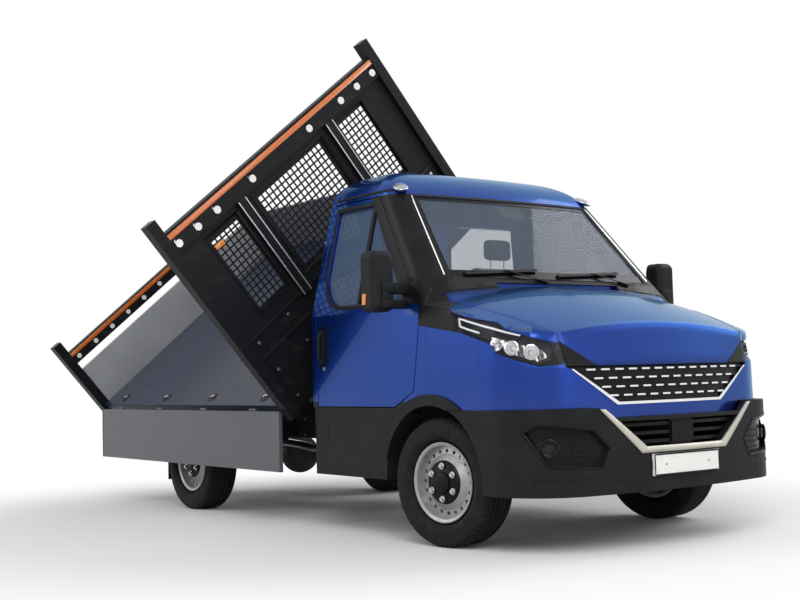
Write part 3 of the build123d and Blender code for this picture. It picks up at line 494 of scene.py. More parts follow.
def lay(tree, look, u, v, lift):
    """Point on a surface as seen from one side, lifted off it."""
    start_of, way, reach = LOOKS[look]
    start = start_of(u, v)
    hit, normal, _, _ = tree.ray_cast(start, way, reach)
    if hit is None:
        hit, normal, _, _ = tree.find_nearest(start + way * (reach - 0.5))
    if normal.dot(way) > 0:
        normal = -normal
    return hit + normal * lift


def oblong(u0, v0, u1, v1):
    return [(u0, v0), (u1, v0), (u1, v1), (u0, v1)]


def finer(path, step, closed=False):
    """More points along a path of (u, v) points."""
    ends = path + path[:1] if closed else path
    out = []
    for (u0, v0), (u1, v1) in zip(ends, ends[1:]):
        count = max(1, round(math.hypot(u1 - u0, v1 - v0) / step))
        out += [(u0 + (u1 - u0) * n / count, v0 + (v1 - v0) * n / count) for n in range(count)]
    return out if closed else out + [path[-1]]


def grown(path, by):
    """Outline moved outward by a distance."""
    count = len(path)
    out = []
    area = sum(path[n - 1][0] * path[n][1] - path[n][0] * path[n - 1][1] for n in range(count))
    sign = 1 if area > 0 else -1
    for n in range(count):
        (u0, v0), (u1, v1), (u2, v2) = path[n - 1], path[n], path[(n + 1) % count]
        a = Vector((v1 - v0, u0 - u1)).normalized() * sign
        b = Vector((v2 - v1, u1 - u2)).normalized() * sign
        way = (a + b).normalized()
        reach = by / max(0.35, way.dot(a))
        out.append((u1 + way.x * reach, v1 + way.y * reach))
    return out


def ribbon(name, nodes, look, path, material, body, width, proud, closed=False):
    """A flat strip that follows a path over a surface, standing a little proud of it."""
    tree = surface_of(nodes)
    path = finer(path, RIBBON_STEP, closed)
    count = len(path)
    # Share of the half width, and height over the surface, round the strip's section.
    section = ((-1, -STRIP_SINK), (-1, proud * 0.6), (-0.7, proud), (0.7, proud), (1, proud * 0.6), (1, -STRIP_SINK))
    rings = []
    for n, (u, v) in enumerate(path):
        u0, v0 = path[n - 1] if closed or n else path[n]
        u1, v1 = path[(n + 1) % count] if closed or n < count - 1 else path[n]
        length = math.hypot(u1 - u0, v1 - v0) or 1
        du, dv = -(v1 - v0) / length * width / 2, (u1 - u0) / length * width / 2
        rings.append([lay(tree, look, u + du * side, v + dv * side, lift) for side, lift in section])
    bm = bmesh.new()
    loft(bm, rings, closed)
    piece(name, bm, material, body)


def split(bm, point, normal, drop=False):
    """Cut the faces along a plane, and drop what lies on its outer side if asked."""
    bmesh.ops.bisect_plane(bm, geom=bm.verts[:] + bm.edges[:] + bm.faces[:], plane_co=point, plane_no=normal,
                           clear_outer=drop)


def patch(name, nodes, look, outline, material, body, proud, depth=0.003):
    """A sheet cut to an outline and laid over a surface."""
    tree = surface_of(nodes)
    bm = bmesh.new()
    bm.faces.new([bm.verts.new((u, v, 0)) for u, v in finer(outline, PATCH_STEP, True)])
    for axis in (0, 1):
        values = [v.co[axis] for v in bm.verts]
        low, high = min(values), max(values)
        normal = Vector((0, 0, 0))
        normal[axis] = 1
        for n in range(1, int((high - low) / PATCH_STEP) + 1):
            split(bm, normal * (low + n * PATCH_STEP), normal)
    for vert in bm.verts:
        vert.co = lay(tree, look, vert.co.x, vert.co.y, proud - depth / 2)
    piece(name, bm, material, body, thick=depth)


def skin(name, node, cuts, outward, material, body, proud):
    """A thin cover that copies a CAD surface inside flat cuts, each given by sets of (point, direction to drop)."""
    whole = bmesh.new()
    for planes in cuts:
        bm = bmesh.new()
        bm.from_mesh(frame["nodes"][node].data)
        bmesh.ops.remove_doubles(bm, verts=bm.verts, dist=1e-5)
        inner = [f for f in bm.faces if f.normal.dot(Vector(outward)) < 0.12]
        bmesh.ops.delete(bm, geom=inner, context="FACES")
        for point, drop in planes:
            split(bm, at(*point), Vector(drop), True)
        bm.normal_update()
        lifts = [(v, v.normal.copy()) for v in bm.verts]
        for vert, normal in lifts:
            vert.co += normal * (proud - SKIN_T / 2)
        part = mesh_of("part", bm)
        whole.from_mesh(part)
        bpy.data.meshes.remove(part)
    piece(name, whole, material, body, thick=SKIN_T)


def bolt_tree(name, sides, washer):
    """Geometry nodes that set a headed bolt on every point, along the point's own direction."""
    tree = bpy.data.node_groups.new(name, "GeometryNodeTree")
    for label, way, kind in (("Geometry", "INPUT", "Geometry"), ("Head radius", "INPUT", "Float"),
                             ("Head height", "INPUT", "Float"), ("Finish", "INPUT", "Material"),
                             ("Geometry", "OUTPUT", "Geometry")):
        tree.interface.new_socket(label, in_out=way, socket_type="NodeSocket" + kind)
    wiring = Wiring(tree)
    points, radius, height, finish, _ = [Sock(wiring, s) for s in tree.nodes.new("NodeGroupInput").outputs]

    def disc(wide, tall, lift, count):
        made = wiring.node("GeometryNodeMeshCylinder", links={"Vertices": count, "Radius": wide, "Depth": tall})
        offset = wiring.node("ShaderNodeCombineXYZ", links={2: lift})
        return wiring.node("GeometryNodeTransform", links={"Geometry": made, "Translation": offset})

    head = wiring.node("GeometryNodeJoinGeometry", links={0: disc(radius, height, height * 0.5, sides)})
    if washer:
        wiring.join(head.socket.node.inputs[0], disc(radius * 1.45, height * 0.3, height * 0.15, 20))
    way = wiring.node("GeometryNodeInputNamedAttribute", {"data_type": "FLOAT_VECTOR"}, {"Name": "way"})
    turn = wiring.node("FunctionNodeAlignRotationToVector", {"axis": "Z"}, {"Vector": way})
    spread = wiring.node("GeometryNodeInstanceOnPoints", links={"Points": points, "Instance": head, "Rotation": turn})
    real = wiring.node("GeometryNodeRealizeInstances", links={0: spread})
    coat = wiring.node("GeometryNodeSetMaterial", links={"Geometry": real, "Material": finish})
    wiring.join(tree.nodes.new("NodeGroupOutput").inputs[0], coat)
    return tree


HEX_BOLTS = bolt_tree("hex_bolts", 6, True)
ROUND_STUDS = bolt_tree("round_studs", 20, False)


# Head radius and height.
WHEEL_NUT, SCREW, DOOR_LOCK = (0.0125, 0.018), (0.006, 0.004), (0.012, 0.005)
HEAD_STUD, REAR_STUD, PIVOT_END = (0.025, 0.007), (0.020, 0.005), (0.021, 0.012)
HEAD_BOLT, HINGE_BOLT, RAIL_BOLT, PACK_BOLT = (0.009, 0.007), (0.009, 0.006), (0.009, 0.008), (0.010, 0.008)


def bolts(name, places, size, material, body, tree=HEX_BOLTS):
    """Bolt heads at (point, direction) places, as one plain mesh on one body."""
    mesh = bpy.data.meshes.new(name)
    mesh.from_pydata([tuple(p) for p, _ in places], [], [])
    way = mesh.attributes.new("way", "FLOAT_VECTOR", "POINT")
    for n, (_, direction) in enumerate(places):
        way.data[n].vector = direction
    obj = placed(name, mesh)
    spread = obj.modifiers.new("spread", "NODES")
    spread.node_group = tree
    names = {s.name: s.identifier for s in tree.interface.items_tree if s.in_out == "INPUT"}
    for label, value in (("Head radius", size[0]), ("Head height", size[1]), ("Finish", material)):
        spread[names[label]] = value
    bake(obj)
    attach(obj, body)


# Wheels.

JOINTS = {j["name"]: j for j in frame["joints"]}
TREAD_R, TREAD_BLOCKS = 0.356, 64
TREAD_FROM = 0.33
GROOVE_Y = 0.035
NOTCH_FROM, NOTCH_TO = 0.02, 0.15
GROOVE_DEEP, NOTCH_DEEP, SIPE_DEEP = 0.007, 0.006, 0.003
# Half of the tyre's section from the bead to the shoulder, as (radius, distance from the middle), and the
# places across the tread.
TYRE_HALF = [(0.209, 0.072), (0.228, 0.073), (0.236, 0.086), (0.238, 0.095), (0.246, 0.103), (0.266, 0.1165),
             (0.284, 0.1175), (0.290, 0.1155), (0.311, 0.1150), (0.328, 0.1120), (0.342, 0.1060), (0.350, 0.0975),
             (0.3545, 0.0880), (TREAD_R, 0.0775)]
TREAD_PLACES = (0.0570, 0.0560, 0.0490, 0.0480, 0.0220, 0.0210, 0.0140, 0.0130)
# (radius, height) profiles on the wheel's axis.
HUB_COVER = [(0.119, 0.070), (0.121, 0.077), (0.112, 0.086), (0.068, 0.087), (0.060, 0.092), (0.056, 0.104),
             (0.040, 0.108), (0.012, 0.109)]
NUT_SEAT = [(0.021, -0.002), (0.021, 0.003), (0.017, 0.005)]
VALVE_STEM = [(0.0055, 0.0), (0.0055, 0.022), (0.0042, 0.024), (0.0042, 0.034)]
RIM_EDGE = [(0.206, 0.087), (0.213, 0.0915), (0.219, 0.0915), (0.2205, 0.088), (0.212, 0.084)]
NUT_RING_R, NUT_COUNT = 0.091, 6


def tread_radius(radius, across, part):
    """Radius of the tyre's surface with ring grooves and notched shoulders."""
    if radius < TREAD_FROM:
        return radius
    across = abs(across)
    if across < 0.078 and 0.0135 < abs(across - GROOVE_Y) < 0.0215:
        return radius - GROOVE_DEEP
    if NOTCH_FROM <= part < NOTCH_TO and across > 0.058:
        return radius - NOTCH_DEEP
    if NOTCH_FROM <= part < NOTCH_TO and across < 0.0125:
        return radius - SIPE_DEEP
    return radius


def tyre(name, centre, axle, body):
    """Tyre with a block tread: the section is swept round and pressed in at the grooves."""
    section = TYRE_HALF + [(TREAD_R, w) for w in TREAD_PLACES]
    section = section + [(r, -w) for r, w in reversed(section)]
    place = facing(centre, axle)
    rings = []
    for n in range(TREAD_BLOCKS):
        for part in (0.0, 0.03, 0.14, 0.17, 0.58):
            rings.append([polar(place, tread_radius(radius, across, part), (n + part) / TREAD_BLOCKS, across)
                          for radius, across in section])
    bm = bmesh.new()
    loft(bm, rings, True)
    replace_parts(piece("tread_" + name, bm, RUBBER, body), "tyre_" + name)


def wheel_dress(name, centre, axle, body):
    """Black hub cover, wheel nuts and valve on a pressed steel wheel."""
    place = facing(centre, axle)
    shares = [(n + 0.5) / NUT_COUNT for n in range(NUT_COUNT)]
    bm = bmesh.new()
    add_lathe(bm, HUB_COVER, centre, axle, 60)
    for share in shares:
        add_lathe(bm, NUT_SEAT, polar(place, NUT_RING_R, share, 0.086), axle, 20)
    piece("hub_cover_" + name, bm, GLOSS_BLACK, body)
    bolts("wheel_nuts_" + name, [(polar(place, NUT_RING_R, share, 0.090), axle) for share in shares], WHEEL_NUT,
          NUT_STEEL, body)
    bm = bmesh.new()
    add_lathe(bm, VALVE_STEM, polar(place, 0.186, 0.0, 0.040), axle, 14)
    add_lathe(bm, RIM_EDGE, centre, axle, 72, True)
    piece("rim_edge_" + name, bm, SILVER, body)


for end in ("front", "rear"):
    for side, sign in SIDES:
        name = "%s_%s" % (end, side)
        spin = JOINTS["spin_" + name]
        for make in (tyre, wheel_dress):
            make(name, Vector(spin["pos_m"]), Vector(spin["axis"]) * sign, "wheel_" + name)


# Cab outside. Outlines are (x, z) as seen from the side and (y, z) as seen from the front or rear.

WINDOW = [(-1.085, 1.99), (-1.085, 1.59), (-1.062, 1.512), (-1.02, 1.44), (-0.95, 1.402), (-0.86, 1.385),
          (-0.235, 1.385), (-0.70, 1.99)]
WINDOW_BAR = [(-0.715, 1.39), (-0.685, 1.39), (-0.685, 1.962), (-0.715, 1.984)]
SCREEN = [(-0.80, 1.50), (0.80, 1.50), (0.705, 2.028), (-0.705, 2.028)]
CLEAR_SCREEN = [(-0.775, 1.548), (0.775, 1.548), (0.690, 2.008), (-0.690, 2.008)]
REAR_WINDOW = [(-0.73, 1.48), (0.73, 1.48), (0.69, 1.96), (-0.69, 1.96)]
SENSOR_POD = [(-0.085, 1.925), (0.085, 1.925), (0.105, 2.02), (-0.105, 2.02)]
REAR_POST_LOW, REAR_POST_HIGH = 1.485, 1.955
# Limits of the black covers, each as a point and the side to drop.
QUARTER_LOW = ((-0.08, 0, 1.228), (-0.156, 0, -0.988))
QUARTER_FRONT = ((0.224, 0, 1.287), (0.59, 0, 0.81))
DOOR_FRAME = (((-0.235, 0, 1.385), (-0.793, 0, -0.609)), ((-0.5, 0, 1.352), (0, 0, -1)))
PILLAR_ENDS = (((0, 0, 2.045), (0, 0, 1)), QUARTER_LOW, ((-0.70, 0, 0), (-1, 0, 0)))
COVER_PROUD = 0.003


def window_dress(side, sign):
    """Seals, a dividing bar and black covers round a door's window and the pillar ahead of it."""
    door = "door_" + side
    ribbon("window_seal_" + side, door, side, grown(WINDOW, 0.014), SEAL, door, width=0.026, proud=0.004, closed=True)
    patch("window_bar_" + side, "door_glass_" + side, side, WINDOW_BAR, SEAL, door, proud=0.016, depth=0.016)
    outward = (0.45, sign, 0.1)
    pillar_edge = ((0, sign * 0.803, 1.50), (0, -sign * 0.9846, -0.177))
    inward = (0, -sign, 0)
    skin("door_frame_" + side, door, [DOOR_FRAME], outward, GLOSS_BLACK, door, COVER_PROUD)
    skin("pillar_cover_" + side, "cab_front_frame", [(pillar_edge, *PILLAR_ENDS)], outward, GLOSS_BLACK, "base",
         COVER_PROUD)
    skin("wing_cover_" + side, "front_wings", [(QUARTER_LOW, QUARTER_FRONT, ((0, sign * 0.6, 0), inward)),
                                               (((0, 0, 1.402), (0, 0, -1)), ((0, sign * 0.3, 0), inward))],
         (0.35, sign * 0.8, 0.5), GLOSS_BLACK, "base", COVER_PROUD)
    ribbon("pillar_bright_" + side, "cab_front_frame cab_roof cab_glass", "front",
           [(sign * 0.833, 1.512), (sign * 0.728, 2.032)], CHROME, "base", width=0.009, proud=0.006)
    ribbon("belt_seal_" + side, door, side, [(-0.86, 1.372), (-0.24, 1.372)], SEAL, door, width=0.018, proud=0.009)
    ribbon("roof_gutter_" + side, "cab_roof", side, [(-1.13, 2.074), (-0.56, 2.074)], SEAL, "base", width=0.014,
           proud=0.005)


for side, sign in SIDES:
    window_dress(side, sign)

borders = []
for (y0, z0), (y1, z1) in zip(CLEAR_SCREEN[-1:] + CLEAR_SCREEN, CLEAR_SCREEN):
    borders.append([((0, y0, z0), (0, z0 - z1, y1 - y0)), ((-0.9, 0, 0), (-1, 0, 0))])
skin("screen_border", "cab_glass", borders, (1, 0, 0.4), FRIT, "base", proud=0.0016)
ribbon("screen_seal", "cab_front_frame cab_glass", "front", grown(SCREEN, 0.008), SEAL, "base", width=0.018,
       proud=0.004, closed=True)
for side, sign in SIDES:
    y = sign * 0.10
    ribbon("rear_window_post_" + side, "cab_glass", "rear", [(y, REAR_POST_LOW), (y, REAR_POST_HIGH)], SEAL, "base",
           width=0.05, proud=0.006)
patch("rear_window_panel", "cab_glass", "rear", oblong(-0.09, REAR_POST_LOW, 0.09, REAR_POST_HIGH), BLUE, "base",
      proud=0.003, depth=0.012)
ribbon("rear_window_seal", "cab_rear_wall cab_glass", "rear", grown(REAR_WINDOW, 0.012), SEAL, "base", width=0.026,
       proud=0.005, closed=True)
patch("sensor_pod", "cab_glass", "front", SENSOR_POD, DASH_BLACK, "base", proud=-0.012, depth=0.024)

MIRROR_GLASS = [(1.106, 1.425), (1.234, 1.425), (1.234, 1.60), (1.212, 1.635), (1.128, 1.635), (1.106, 1.60)]
WIDE_GLASS = [(1.118, 1.345), (1.222, 1.345), (1.232, 1.408), (1.108, 1.408)]
REPEATER = [(-0.266, 1.352), (-0.236, 1.352), (-0.230, 1.412), (-0.262, 1.412)]
# Blocks of a mirror's arms: x, y out from the middle, and z, from and to.
MIRROR_ARMS = ((-0.262, -0.194, 0.945, 1.12, 1.330, 1.378), (-0.176, -0.153, 1.098, 1.19, 1.330, 1.378),
               (-0.262, -0.194, 0.945, 1.12, 1.415, 1.478), (-0.176, -0.153, 1.098, 1.19, 1.415, 1.478),
               (-0.176, -0.153, 1.15, 1.19, 1.37, 1.42), (-0.270, -0.180, 0.945, 0.975, 1.318, 1.512))
HANDLE_X = -1.065
HANDLE = ((1.012, 1.05), (1.036, 1.075), (1.038, 1.14), (1.036, 1.205), (1.012, 1.232))


def handed(path, sign):
    """A (y, z) outline on one side of the vehicle."""
    return [(sign * y, z) for y, z in path]


def handed_boxes(rows, sign):
    """Corners of boxes on one side of the vehicle, from rows of x, y and z, from and to."""
    return [(at(x0, sign * y0, z0), at(x1, sign * y1, z1)) for x0, x1, y0, y1, z0, z1 in rows]


def mirror_details(side, sign):
    """Glass, housing lip, amber repeater and arms of a door mirror."""
    door, fitting = "door_" + side, "door_fittings_" + side
    for name, outline in (("mirror_glass_", MIRROR_GLASS), ("mirror_wide_glass_", WIDE_GLASS)):
        patch(name + side, fitting, "rear", handed(outline, sign), MIRROR, door, proud=0.004, depth=0.005)
    ribbon("mirror_lip_" + side, fitting, "rear", grown(handed(MIRROR_GLASS, sign), 0.008), GLOSS_BLACK, door,
           width=0.012, proud=0.007, closed=True)
    patch("repeater_" + side, fitting, side, REPEATER, ORANGE, door, proud=0.005, depth=0.006)
    blocks("mirror_arms_" + side, handed_boxes(MIRROR_ARMS, sign), BLACK, door, bevel=0.009)


def door_details(side, sign):
    """Handle grip and cup, lock, and the line along the cladding below."""
    door = "door_" + side
    bm = bmesh.new()
    add_tube(bm, [at(HANDLE_X, sign * y, z) for y, z in HANDLE], 0.013, 14)
    piece("handle_grip_" + side, bm, GLOSS_BLACK, door)
    ribbon("handle_cup_" + side, door, side, oblong(-1.105, 1.022, -1.028, 1.262), GLOSS_BLACK, door, width=0.012,
           proud=0.004, closed=True)
    bolts("door_lock_" + side, [(at(HANDLE_X, sign * 1.0, 1.005), (0, sign, 0))], DOOR_LOCK, NUT_STEEL, door,
          ROUND_STUDS)
    ribbon("cladding_line_" + side, "lower_cladding", side, [(-1.17, 0.70), (-0.47, 0.70)], BLACK, "base",
           width=0.012, proud=0.003)


for side, sign in SIDES:
    mirror_details(side, sign)
    door_details(side, sign)
ribbon("fuel_flap_edge", "cab_rear_wall cab_front_frame lower_cladding", "right", oblong(-1.17, 0.55, -1.03, 0.665),
       GLOSS_BLACK, "base", width=0.007, proud=0.0025, closed=True)


# Lamps.

MARKER_FOOT = (-0.515, 0.775, 2.118)
RIM_REACH, RIM_LIFT = (0.074, 0.050, 0.017), 0.004
DOME_REACH, DOME_LIFT = (0.060, 0.038, 0.026), 0.006


def marker_domes():
    """Low clear roof markers, each an almond dome in a bright rim."""
    rims, domes = bmesh.new(), bmesh.new()
    roof = surface_of("cab_roof")
    x, y, z = MARKER_FOOT
    for _, sign in SIDES:
        foot, normal, _, _ = roof.find_nearest(at(x, sign * y, z))
        turn = (normal + Vector(UPWARD)).normalized().to_track_quat("Z", "X").to_matrix().to_4x4()
        for bm, reach, lift in ((rims, RIM_REACH, RIM_LIFT), (domes, DOME_REACH, DOME_LIFT)):
            shape = Matrix.Translation(foot + normal * lift) @ turn @ Matrix.Diagonal((*reach, 1))
            bmesh.ops.create_uvsphere(bm, u_segments=40, v_segments=20, radius=1.0, matrix=shape)
    rim = piece("marker_rims", rims, MARKER_LENS, "base")
    piece("marker_domes", domes, MARKER_CLEAR, "base")
    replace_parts(rim, "marker_lamps")


marker_domes()

LAMP_HOUSING = [(0.245, 1.262), (0.34, 1.238), (0.56, 1.190), (0.70, 1.150), (0.765, 1.09), (0.77, 1.02),
                (0.735, 0.995), (0.56, 1.065), (0.52, 1.11), (0.32, 1.165)]
LAMP_CELLS = [(0.46, 1.148), (0.60, 1.118), (0.735, 1.075), (0.762, 1.035), (0.735, 1.008), (0.565, 1.070),
              (0.50, 1.122)]
# Place of each bowl as x and z, and its radius; the profiles give shares of that radius, and heights.
LAMP_BOWLS = ((0.545, 1.098, 0.034), (0.625, 1.078, 0.038), (0.705, 1.055, 0.040))
BOWL = ((1.0, 0.036), (0.93, 0.037), (0.72, 0.018), (0.42, 0.006), (0.3, 0.004), (0.3, 0.0), (0.8, 0.010))
BULB = ((0.28, 0.004), (0.26, 0.014), (0.16, 0.020))
BULB_TIP = (0.002, 0.022)
BOWL_FRONT, BOWL_BACK = -0.008, -0.046
LIGHT_BARS = ([(0.275, 1.205), (0.268, 1.248), (0.36, 1.224), (0.52, 1.184), (0.66, 1.142)],
              [(0.275, 1.205), (0.34, 1.186), (0.43, 1.164)])
BROW_X, BROW_Z = 0.517, 1.214
FOG_RING = [(0.030, 0.0), (0.047, 0.004), (0.049, 0.012), (0.043, 0.015), (0.031, 0.008)]
POCKET = [(0.945, 0.640), (0.900, 0.672), (0.640, 0.640), (0.540, 0.545), (0.590, 0.455), (0.870, 0.470)]


def headlamp(side, sign):
    """Dark housing, chrome bowls, light bars and pressed cells behind a clear cover, under a blue brow."""
    tree = surface_of("front_lamps")
    patch("lamp_housing_" + side, "front_lamps", side, LAMP_HOUSING, LAMP_DARK, "base", proud=-0.052)
    bowls, bulbs, bars = bmesh.new(), bmesh.new(), bmesh.new()
    for u, v, size in LAMP_BOWLS:
        back = lay(tree, side, u, v, BOWL_BACK)
        way = (lay(tree, side, u, v, BOWL_FRONT) - back).normalized()
        add_lathe(bowls, [(size * share, height) for share, height in BOWL], back, way, 28, True)
        add_lathe(bulbs, [(size * share, height) for share, height in BULB] + [BULB_TIP], back, way, 18)
    piece("lamp_bowls_" + side, bowls, CHROME, "base")
    piece("lamp_bulbs_" + side, bulbs, LAMP_CLEAR, "base")
    for path in LIGHT_BARS:
        add_tube(bars, [lay(tree, side, u, v, -0.010) for u, v in finer(path, 0.02)], 0.0062, 8)
    piece("light_bars_" + side, bars, LIGHT_BAR, "base")
    this_side = ((0, 0, 0), (0, -sign, 0))
    brow = [(((BROW_X, 0, BROW_Z), slope), ((BROW_X, 0, 0), end), this_side)
            for slope, end in (((-0.069, 0, -0.293), FORWARD), ((-0.104, 0, -0.222), BACKWARD))]
    skin("lamp_brow_" + side, "front_lamps", brow, (0.3, sign * 0.5, 0.9), BLUE, "base", proud=0.002)
    patch("lamp_reflector_" + side, "front_lamps", side, LAMP_CELLS, REFLECTOR, "base", proud=-0.040)


def nose_corner(side, sign):
    """Black wing of the grille, and the fog lamp's ring and ribbed pocket."""
    skin("grille_wing_" + side, "bonnet", [(((0, sign * 0.66, 1.059), (0, -sign * 0.62, 1)), ((0.70, 0, 0), BACKWARD))],
         (1, sign * 0.4, 0.2), GLOSS_BLACK, "bonnet", proud=0.002)
    bm = bmesh.new()
    fog = lay(surface_of("front_bumper front_lamps"), "front", sign * 0.85, 0.56, 0.0)
    add_lathe(bm, FOG_RING, fog, (0.62, sign * 0.78, 0), 32, True)
    piece("fog_ring_" + side, bm, GLOSS_BLACK, "base")
    pocket = handed(POCKET, sign)
    ribbon("pocket_edge_" + side, "front_bumper", "front", grown(pocket, 0.007), GLOSS_BLACK, "base", width=0.011,
           proud=0.004, closed=True)
    patch("pocket_floor_" + side, "front_bumper", "front", grown(pocket, -0.012), FRIT, "base", proud=0.0015,
          depth=0.002)
    for n in range(4):
        z = 0.49 + 0.032 * n
        ribbon("pocket_rib_%s_%d" % (side, n), "front_bumper", "front",
               [(sign * (0.585 + 0.010 * n), z), (sign * 0.735, z)], BLACK, "base", width=0.009, proud=0.006)


for side, sign in SIDES:
    headlamp(side, sign)
    nose_corner(side, sign)


# Front end.

STEP_LINE = [(-0.93, 0.405), (-0.60, 0.405), (-0.40, 0.372), (0.40, 0.372), (0.60, 0.405), (0.93, 0.405)]
FIN_COUNT, FIN_FROM, FIN_STEP, FIN_HALF = 79, -0.585, 0.015, 0.002
FIN_PLACES = [FIN_FROM + FIN_STEP * n for n in range(FIN_COUNT)]

ribbon("plate_rim", "number_plate", "front", oblong(-0.256, 0.392, 0.256, 0.499), GLOSS_BLACK, "base", width=0.008,
       proud=0.003, closed=True)
bolts("plate_screws", [(at(0.958, y, 0.446), FORWARD) for y in (-0.17, 0.17)], SCREW, NUT_STEEL, "base", ROUND_STUDS)
ribbon("bumper_step_line", "front_bumper", "front", STEP_LINE, BLACK, "base", width=0.014, proud=0.004)
patch("intake_square", "grilles", "front", oblong(-0.085, 0.56, 0.085, 0.67), GLOSS_BLACK, "base", proud=0.012,
      depth=0.014)
cores = [(at(0.745, -0.60, 0.44), at(0.765, 0.60, 0.72)), (at(0.735, -0.40, 0.72), at(0.755, 0.40, 0.90))]
fins = [(at(0.765, y - FIN_HALF, 0.45), at(0.772, y + FIN_HALF, 0.71)) for y in FIN_PLACES]
blocks("radiator_core", cores + fins, GLOSS_BLACK, "base")


# Bed. Its places are written as if it lay level, and tipped at the end.

TIP = math.radians(40.0)
PIVOT_Y, PIVOT_Z = -0.76, 0.87
BED_BASE = 0.90
TIPPED = (Matrix.Translation(at(0, PIVOT_Y, PIVOT_Z)) @ Matrix.Rotation(TIP, 4, "X")
          @ Matrix.Translation((0, -PIVOT_Y, -PIVOT_Z)))
BED_UP = TIPPED.to_3x3() @ Vector(UPWARD)


def tipped(x, y, z):
    """A point of the level bed, where the tipped bed has it."""
    return TIPPED @ Vector((x, y, z))


def bed_blocks(name, rows, material, body="bed", bevel=0.003, base=BED_BASE):
    """Boxes of the bed as one piece, from rows of x, y and z, from and to, with z over the bed's base."""
    boxes = [((x0, y0, base + z0), (x1, y1, base + z1)) for x0, x1, y0, y1, z0, z1 in rows]
    blocks(name, boxes, material, body, TIPPED, bevel)


STUDS_Y = [sign * y for y in (0.285, 0.62, 0.795, 0.965) for sign in (-1, 1)]
REAR_STUDS_Y = [n * 0.19 - 0.95 for n in range(11)]
BOLTS_Y, BOLTS_Z = (-0.93, -0.64, -0.22, 0.22, 0.64, 0.93), (0.08, 0.30, 0.52)
STRIPE_Y = 1.004
MESH_LOW, MESH_HIGH, MESH_EDGE = 0.655, 1.25, 0.016
MESH_BAYS = ((-0.78, -0.51), (-0.34, 0.34), (0.51, 0.78))
POST_Y, POST_CAP_HALF, POST_CAP_T = 1.0425, 0.040, 0.008

bed_blocks("head_stripe", [(-1.421, -1.413, -STRIPE_Y, STRIPE_Y, 1.398, 1.434)], STRIPE)
bolts("head_studs", [(tipped(-1.421, y, BED_BASE + 1.350), FORWARD) for y in STUDS_Y], HEAD_STUD, STUD_WHITE, "bed",
      ROUND_STUDS)
bed_blocks("stile_edges", [(-1.417, -1.409, y - 0.004, y + 0.004, 0.545, 1.295)
                           for y in (-0.44 - 0.031, -0.44 + 0.031, 0.44 - 0.031, 0.44 + 0.031)], ALLOY)
frames = []
for y0, y1 in MESH_BAYS:
    left, right = y0 - MESH_EDGE, y1 + MESH_EDGE
    frames += [(left, right, MESH_LOW - MESH_EDGE, MESH_LOW), (left, right, MESH_HIGH, MESH_HIGH + MESH_EDGE),
               (left, y0, MESH_LOW, MESH_HIGH), (y1, right, MESH_LOW, MESH_HIGH)]
bed_blocks("mesh_frames", [(-1.452, -1.443, *row) for row in frames], BED_BLACK)
bolts("head_bolts", [(tipped(-1.443, y, BED_BASE + z), FORWARD) for y in BOLTS_Y for z in BOLTS_Z], HEAD_BOLT,
      NUT_STEEL, "bed")
bed_blocks("head_ribs", [(-1.452, -1.438, -1.0, 1.0, z - 0.012, z + 0.012) for z in (0.42, 0.565)], BED_BLACK)
bed_blocks("mesh_reflector", [(-1.444, -1.436, -0.775, -0.70, 1.15, 1.185)], ORANGE)
bed_blocks("post_caps", [(x - 0.002, x + 0.082, y - POST_CAP_HALF, y + POST_CAP_HALF, top, top + POST_CAP_T)
                         for y in (-POST_Y, POST_Y) for x, top in ((-1.49, 1.55), (-4.425, 0.725))], GLOSS_BLACK)
bed_blocks("rear_stripe", [(x, x + 0.006, -STRIPE_Y, STRIPE_Y, 0.574, 0.606) for x in (-4.419, -4.357)], STRIPE)
for name, x, way in (("rear_studs", -4.353, FORWARD), ("rear_outer_studs", -4.415, BACKWARD)):
    bolts(name, [(tipped(x, y, BED_BASE + 0.545), way) for y in REAR_STUDS_Y], REAR_STUD, STUD_WHITE, "bed",
          ROUND_STUDS)

SIDE_LOW, SIDE_HIGH, SIDE_OUT_Y = 0.983, 1.373, 1.08
HINGE_Y, HINGE_Z = 1.075, 0.975
HINGES_X = (-3.99, -3.28, -2.56, -1.85)
HANG = (Matrix.Translation((0, -HINGE_Y, HINGE_Z)) @ Matrix.Rotation(math.radians(140.0), 4, "X")
        @ Matrix.Translation((0, HINGE_Y, -HINGE_Z)))


def drop_side_dress(side, sign, place):
    """Extruded ribs, edge caps and latch plates of a drop side, drawn upright and then swung to where it hangs."""
    body = "drop_side_" + side
    outer = sign * SIDE_OUT_Y
    ribs = [((-4.33, outer, z - 0.008), (-1.505, outer + sign * 0.003, z + 0.008))
            for z in (SIDE_LOW + 0.012, SIDE_LOW + 0.135, SIDE_LOW + 0.26, SIDE_HIGH - 0.014)]
    caps = [((x - 0.004, sign * 1.056, SIDE_LOW), (x + 0.012, sign * 1.083, SIDE_HIGH)) for x in (-4.337, -1.498)]
    blocks("side_ribs_" + side, ribs + caps, SIDE_GREY, body, place, 0.002)
    latches = [((x - 0.035, outer, SIDE_HIGH - 0.10), (x + 0.035, outer + sign * 0.012, SIDE_HIGH - 0.03))
               for x in (-4.25, -1.58)]
    blocks("side_latches_" + side, latches, GLOSS_BLACK, body, place, 0.004)
    way = place.to_3x3() @ Vector((0, sign, 0))
    bolts("side_hinge_bolts_" + side, [(place @ Vector((x + dx, outer + sign * 0.003, SIDE_LOW + 0.04)), way)
                                       for x in HINGES_X for dx in (-0.03, 0.03)], HINGE_BOLT, NUT_STEEL, body)


drop_side_dress("right", -1, TIPPED @ HANG)
drop_side_dress("left", 1, TIPPED)

